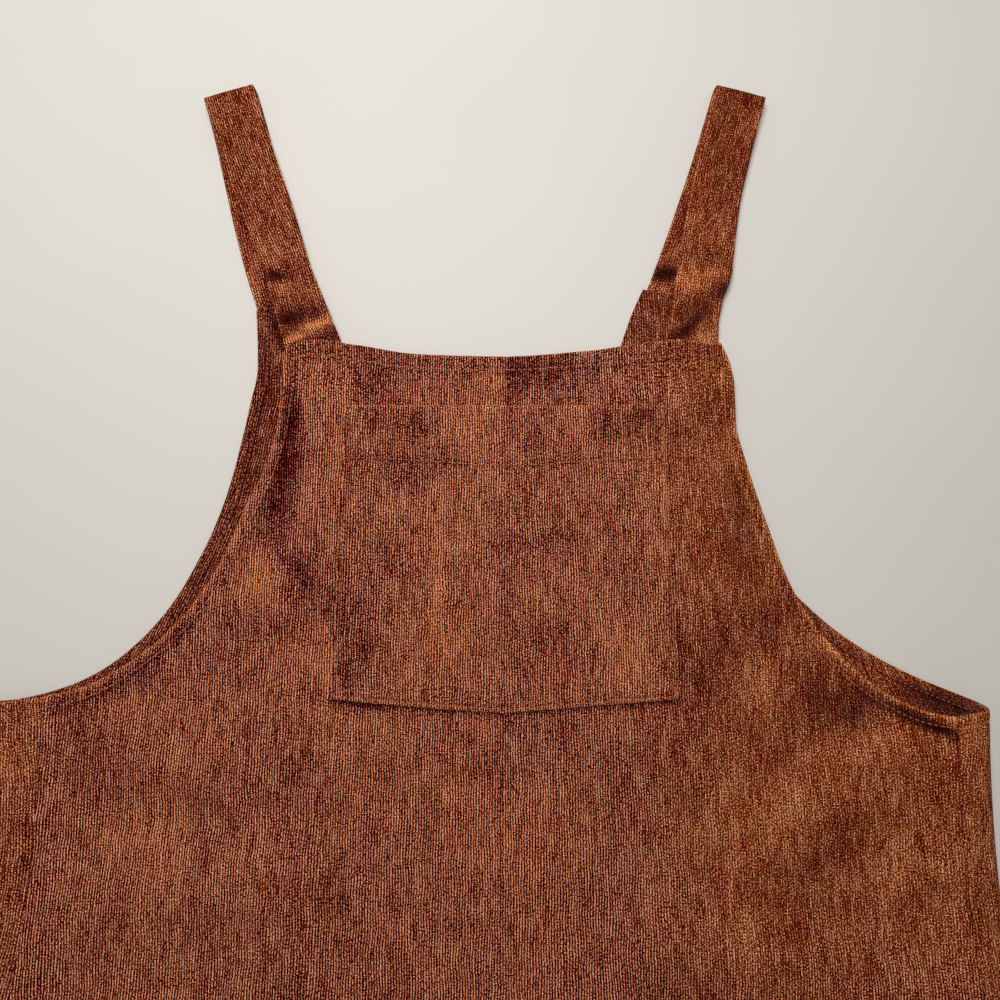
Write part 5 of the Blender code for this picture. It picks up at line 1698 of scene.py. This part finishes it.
class OVERALLS_OT_pocket(Operator):
    """Makes the patch pocket of the bib"""

    bl_idname = "overalls.make_pocket"
    bl_label = "Make the bib pocket"

    def execute(self, context):
        make_pocket()
        return {"FINISHED"}


class OVERALLS_OT_straps(Operator):
    """Makes the two shoulder straps"""

    bl_idname = "overalls.make_straps"
    bl_label = "Make the straps"

    def execute(self, context):
        for side in SIDES:
            make_strap(side)
        return {"FINISHED"}


class OVERALLS_OT_sewing(Operator):
    """Makes the topstitching along hems, armholes and pocket"""

    bl_idname = "overalls.make_sewing"
    bl_label = "Make the topstitching"

    def execute(self, context):
        make_stitching(context.scene.overalls_sewing)
        return {"FINISHED"}


class OVERALLS_OT_stage(Operator):
    """Sets the table, the light and the camera"""

    bl_idname = "overalls.set_stage"
    bl_label = "Set the stage"

    def execute(self, context):
        settings = context.scene.overalls_stage
        mesh = bpy.data.meshes.new("table_top")
        square = ((-1, -1), (1, -1), (1, 1), (-1, 1))
        corners = [(x * TABLE_HALF, y * TABLE_HALF, -TABLE_DROP) for x, y in square]
        mesh.from_pydata(corners, [], [(0, 1, 2, 3)])
        mesh.materials.append(table_material(settings))
        add_object("table_top", mesh)

        lamp = bpy.data.lights.new("soft_key", "AREA")
        lamp.energy = settings.key_power
        lamp.shape = "SQUARE"
        lamp.size = LAMP_WIDTH
        lamp.color = LAMP_TINT
        key = add_object("soft_key", lamp)
        key.location = settings.key_place
        aim = Vector(settings.key_aim) - key.location
        key.rotation_euler = aim.to_track_quat("-Z", "Y").to_euler()

        world = bpy.data.worlds.new("soft_room")
        world.use_nodes = True
        room = world.node_tree.nodes["Background"]
        room.inputs["Color"].default_value = linear("#f7f5f1")
        room.inputs["Strength"].default_value = settings.sky_strength
        context.scene.world = world
        context.scene.view_settings.view_transform = "Standard"

        lens = bpy.data.cameras.new("camera")
        lens.lens = settings.lens
        lens.sensor_width = SENSOR_WIDTH_MM
        lens.clip_start = NEAREST_SEEN
        camera = add_object("camera", lens)
        camera.location = settings.place
        camera.rotation_euler = (settings.tilt, 0.0, 0.0)
        context.scene.camera = camera
        return {"FINISHED"}


OPERATORS = (
    OVERALLS_OT_backs,
    OVERALLS_OT_fronts,
    OVERALLS_OT_pocket,
    OVERALLS_OT_straps,
    OVERALLS_OT_sewing,
    OVERALLS_OT_stage,
)


class OVERALLS_PT_panel(Panel):
    """Lists the steps and the settings"""

    bl_idname = "OVERALLS_PT_panel"
    bl_label = "Overalls"
    bl_space_type = "VIEW_3D"
    bl_region_type = "UI"
    bl_category = "Overalls"

    def draw(self, context):
        for step in OPERATORS:
            self.layout.operator(step.bl_idname)
        scene = context.scene
        for group in (scene.overalls_cloth, scene.overalls_sewing, scene.overalls_stage):
            box = self.layout.box()
            for name in type(group).__annotations__:
                box.prop(group, name)


CLASSES = (ClothSettings, SewingSettings, StageSettings, *OPERATORS, OVERALLS_PT_panel)


def register():
    for kind in CLASSES:
        bpy.utils.register_class(kind)
    bpy.types.Scene.overalls_cloth = PointerProperty(type=ClothSettings)
    bpy.types.Scene.overalls_sewing = PointerProperty(type=SewingSettings)
    bpy.types.Scene.overalls_stage = PointerProperty(type=StageSettings)


def unregister():
    del bpy.types.Scene.overalls_stage
    del bpy.types.Scene.overalls_sewing
    del bpy.types.Scene.overalls_cloth
    for kind in reversed(CLASSES):
        bpy.utils.unregister_class(kind)


def main():
    register()
    bpy.ops.overalls.set_stage()
    bpy.ops.overalls.make_backs()
    bpy.ops.overalls.make_fronts()
    bpy.ops.overalls.make_pocket()
    bpy.ops.overalls.make_straps()
    bpy.ops.overalls.make_sewing()


if __name__ == "__main__":
    main()
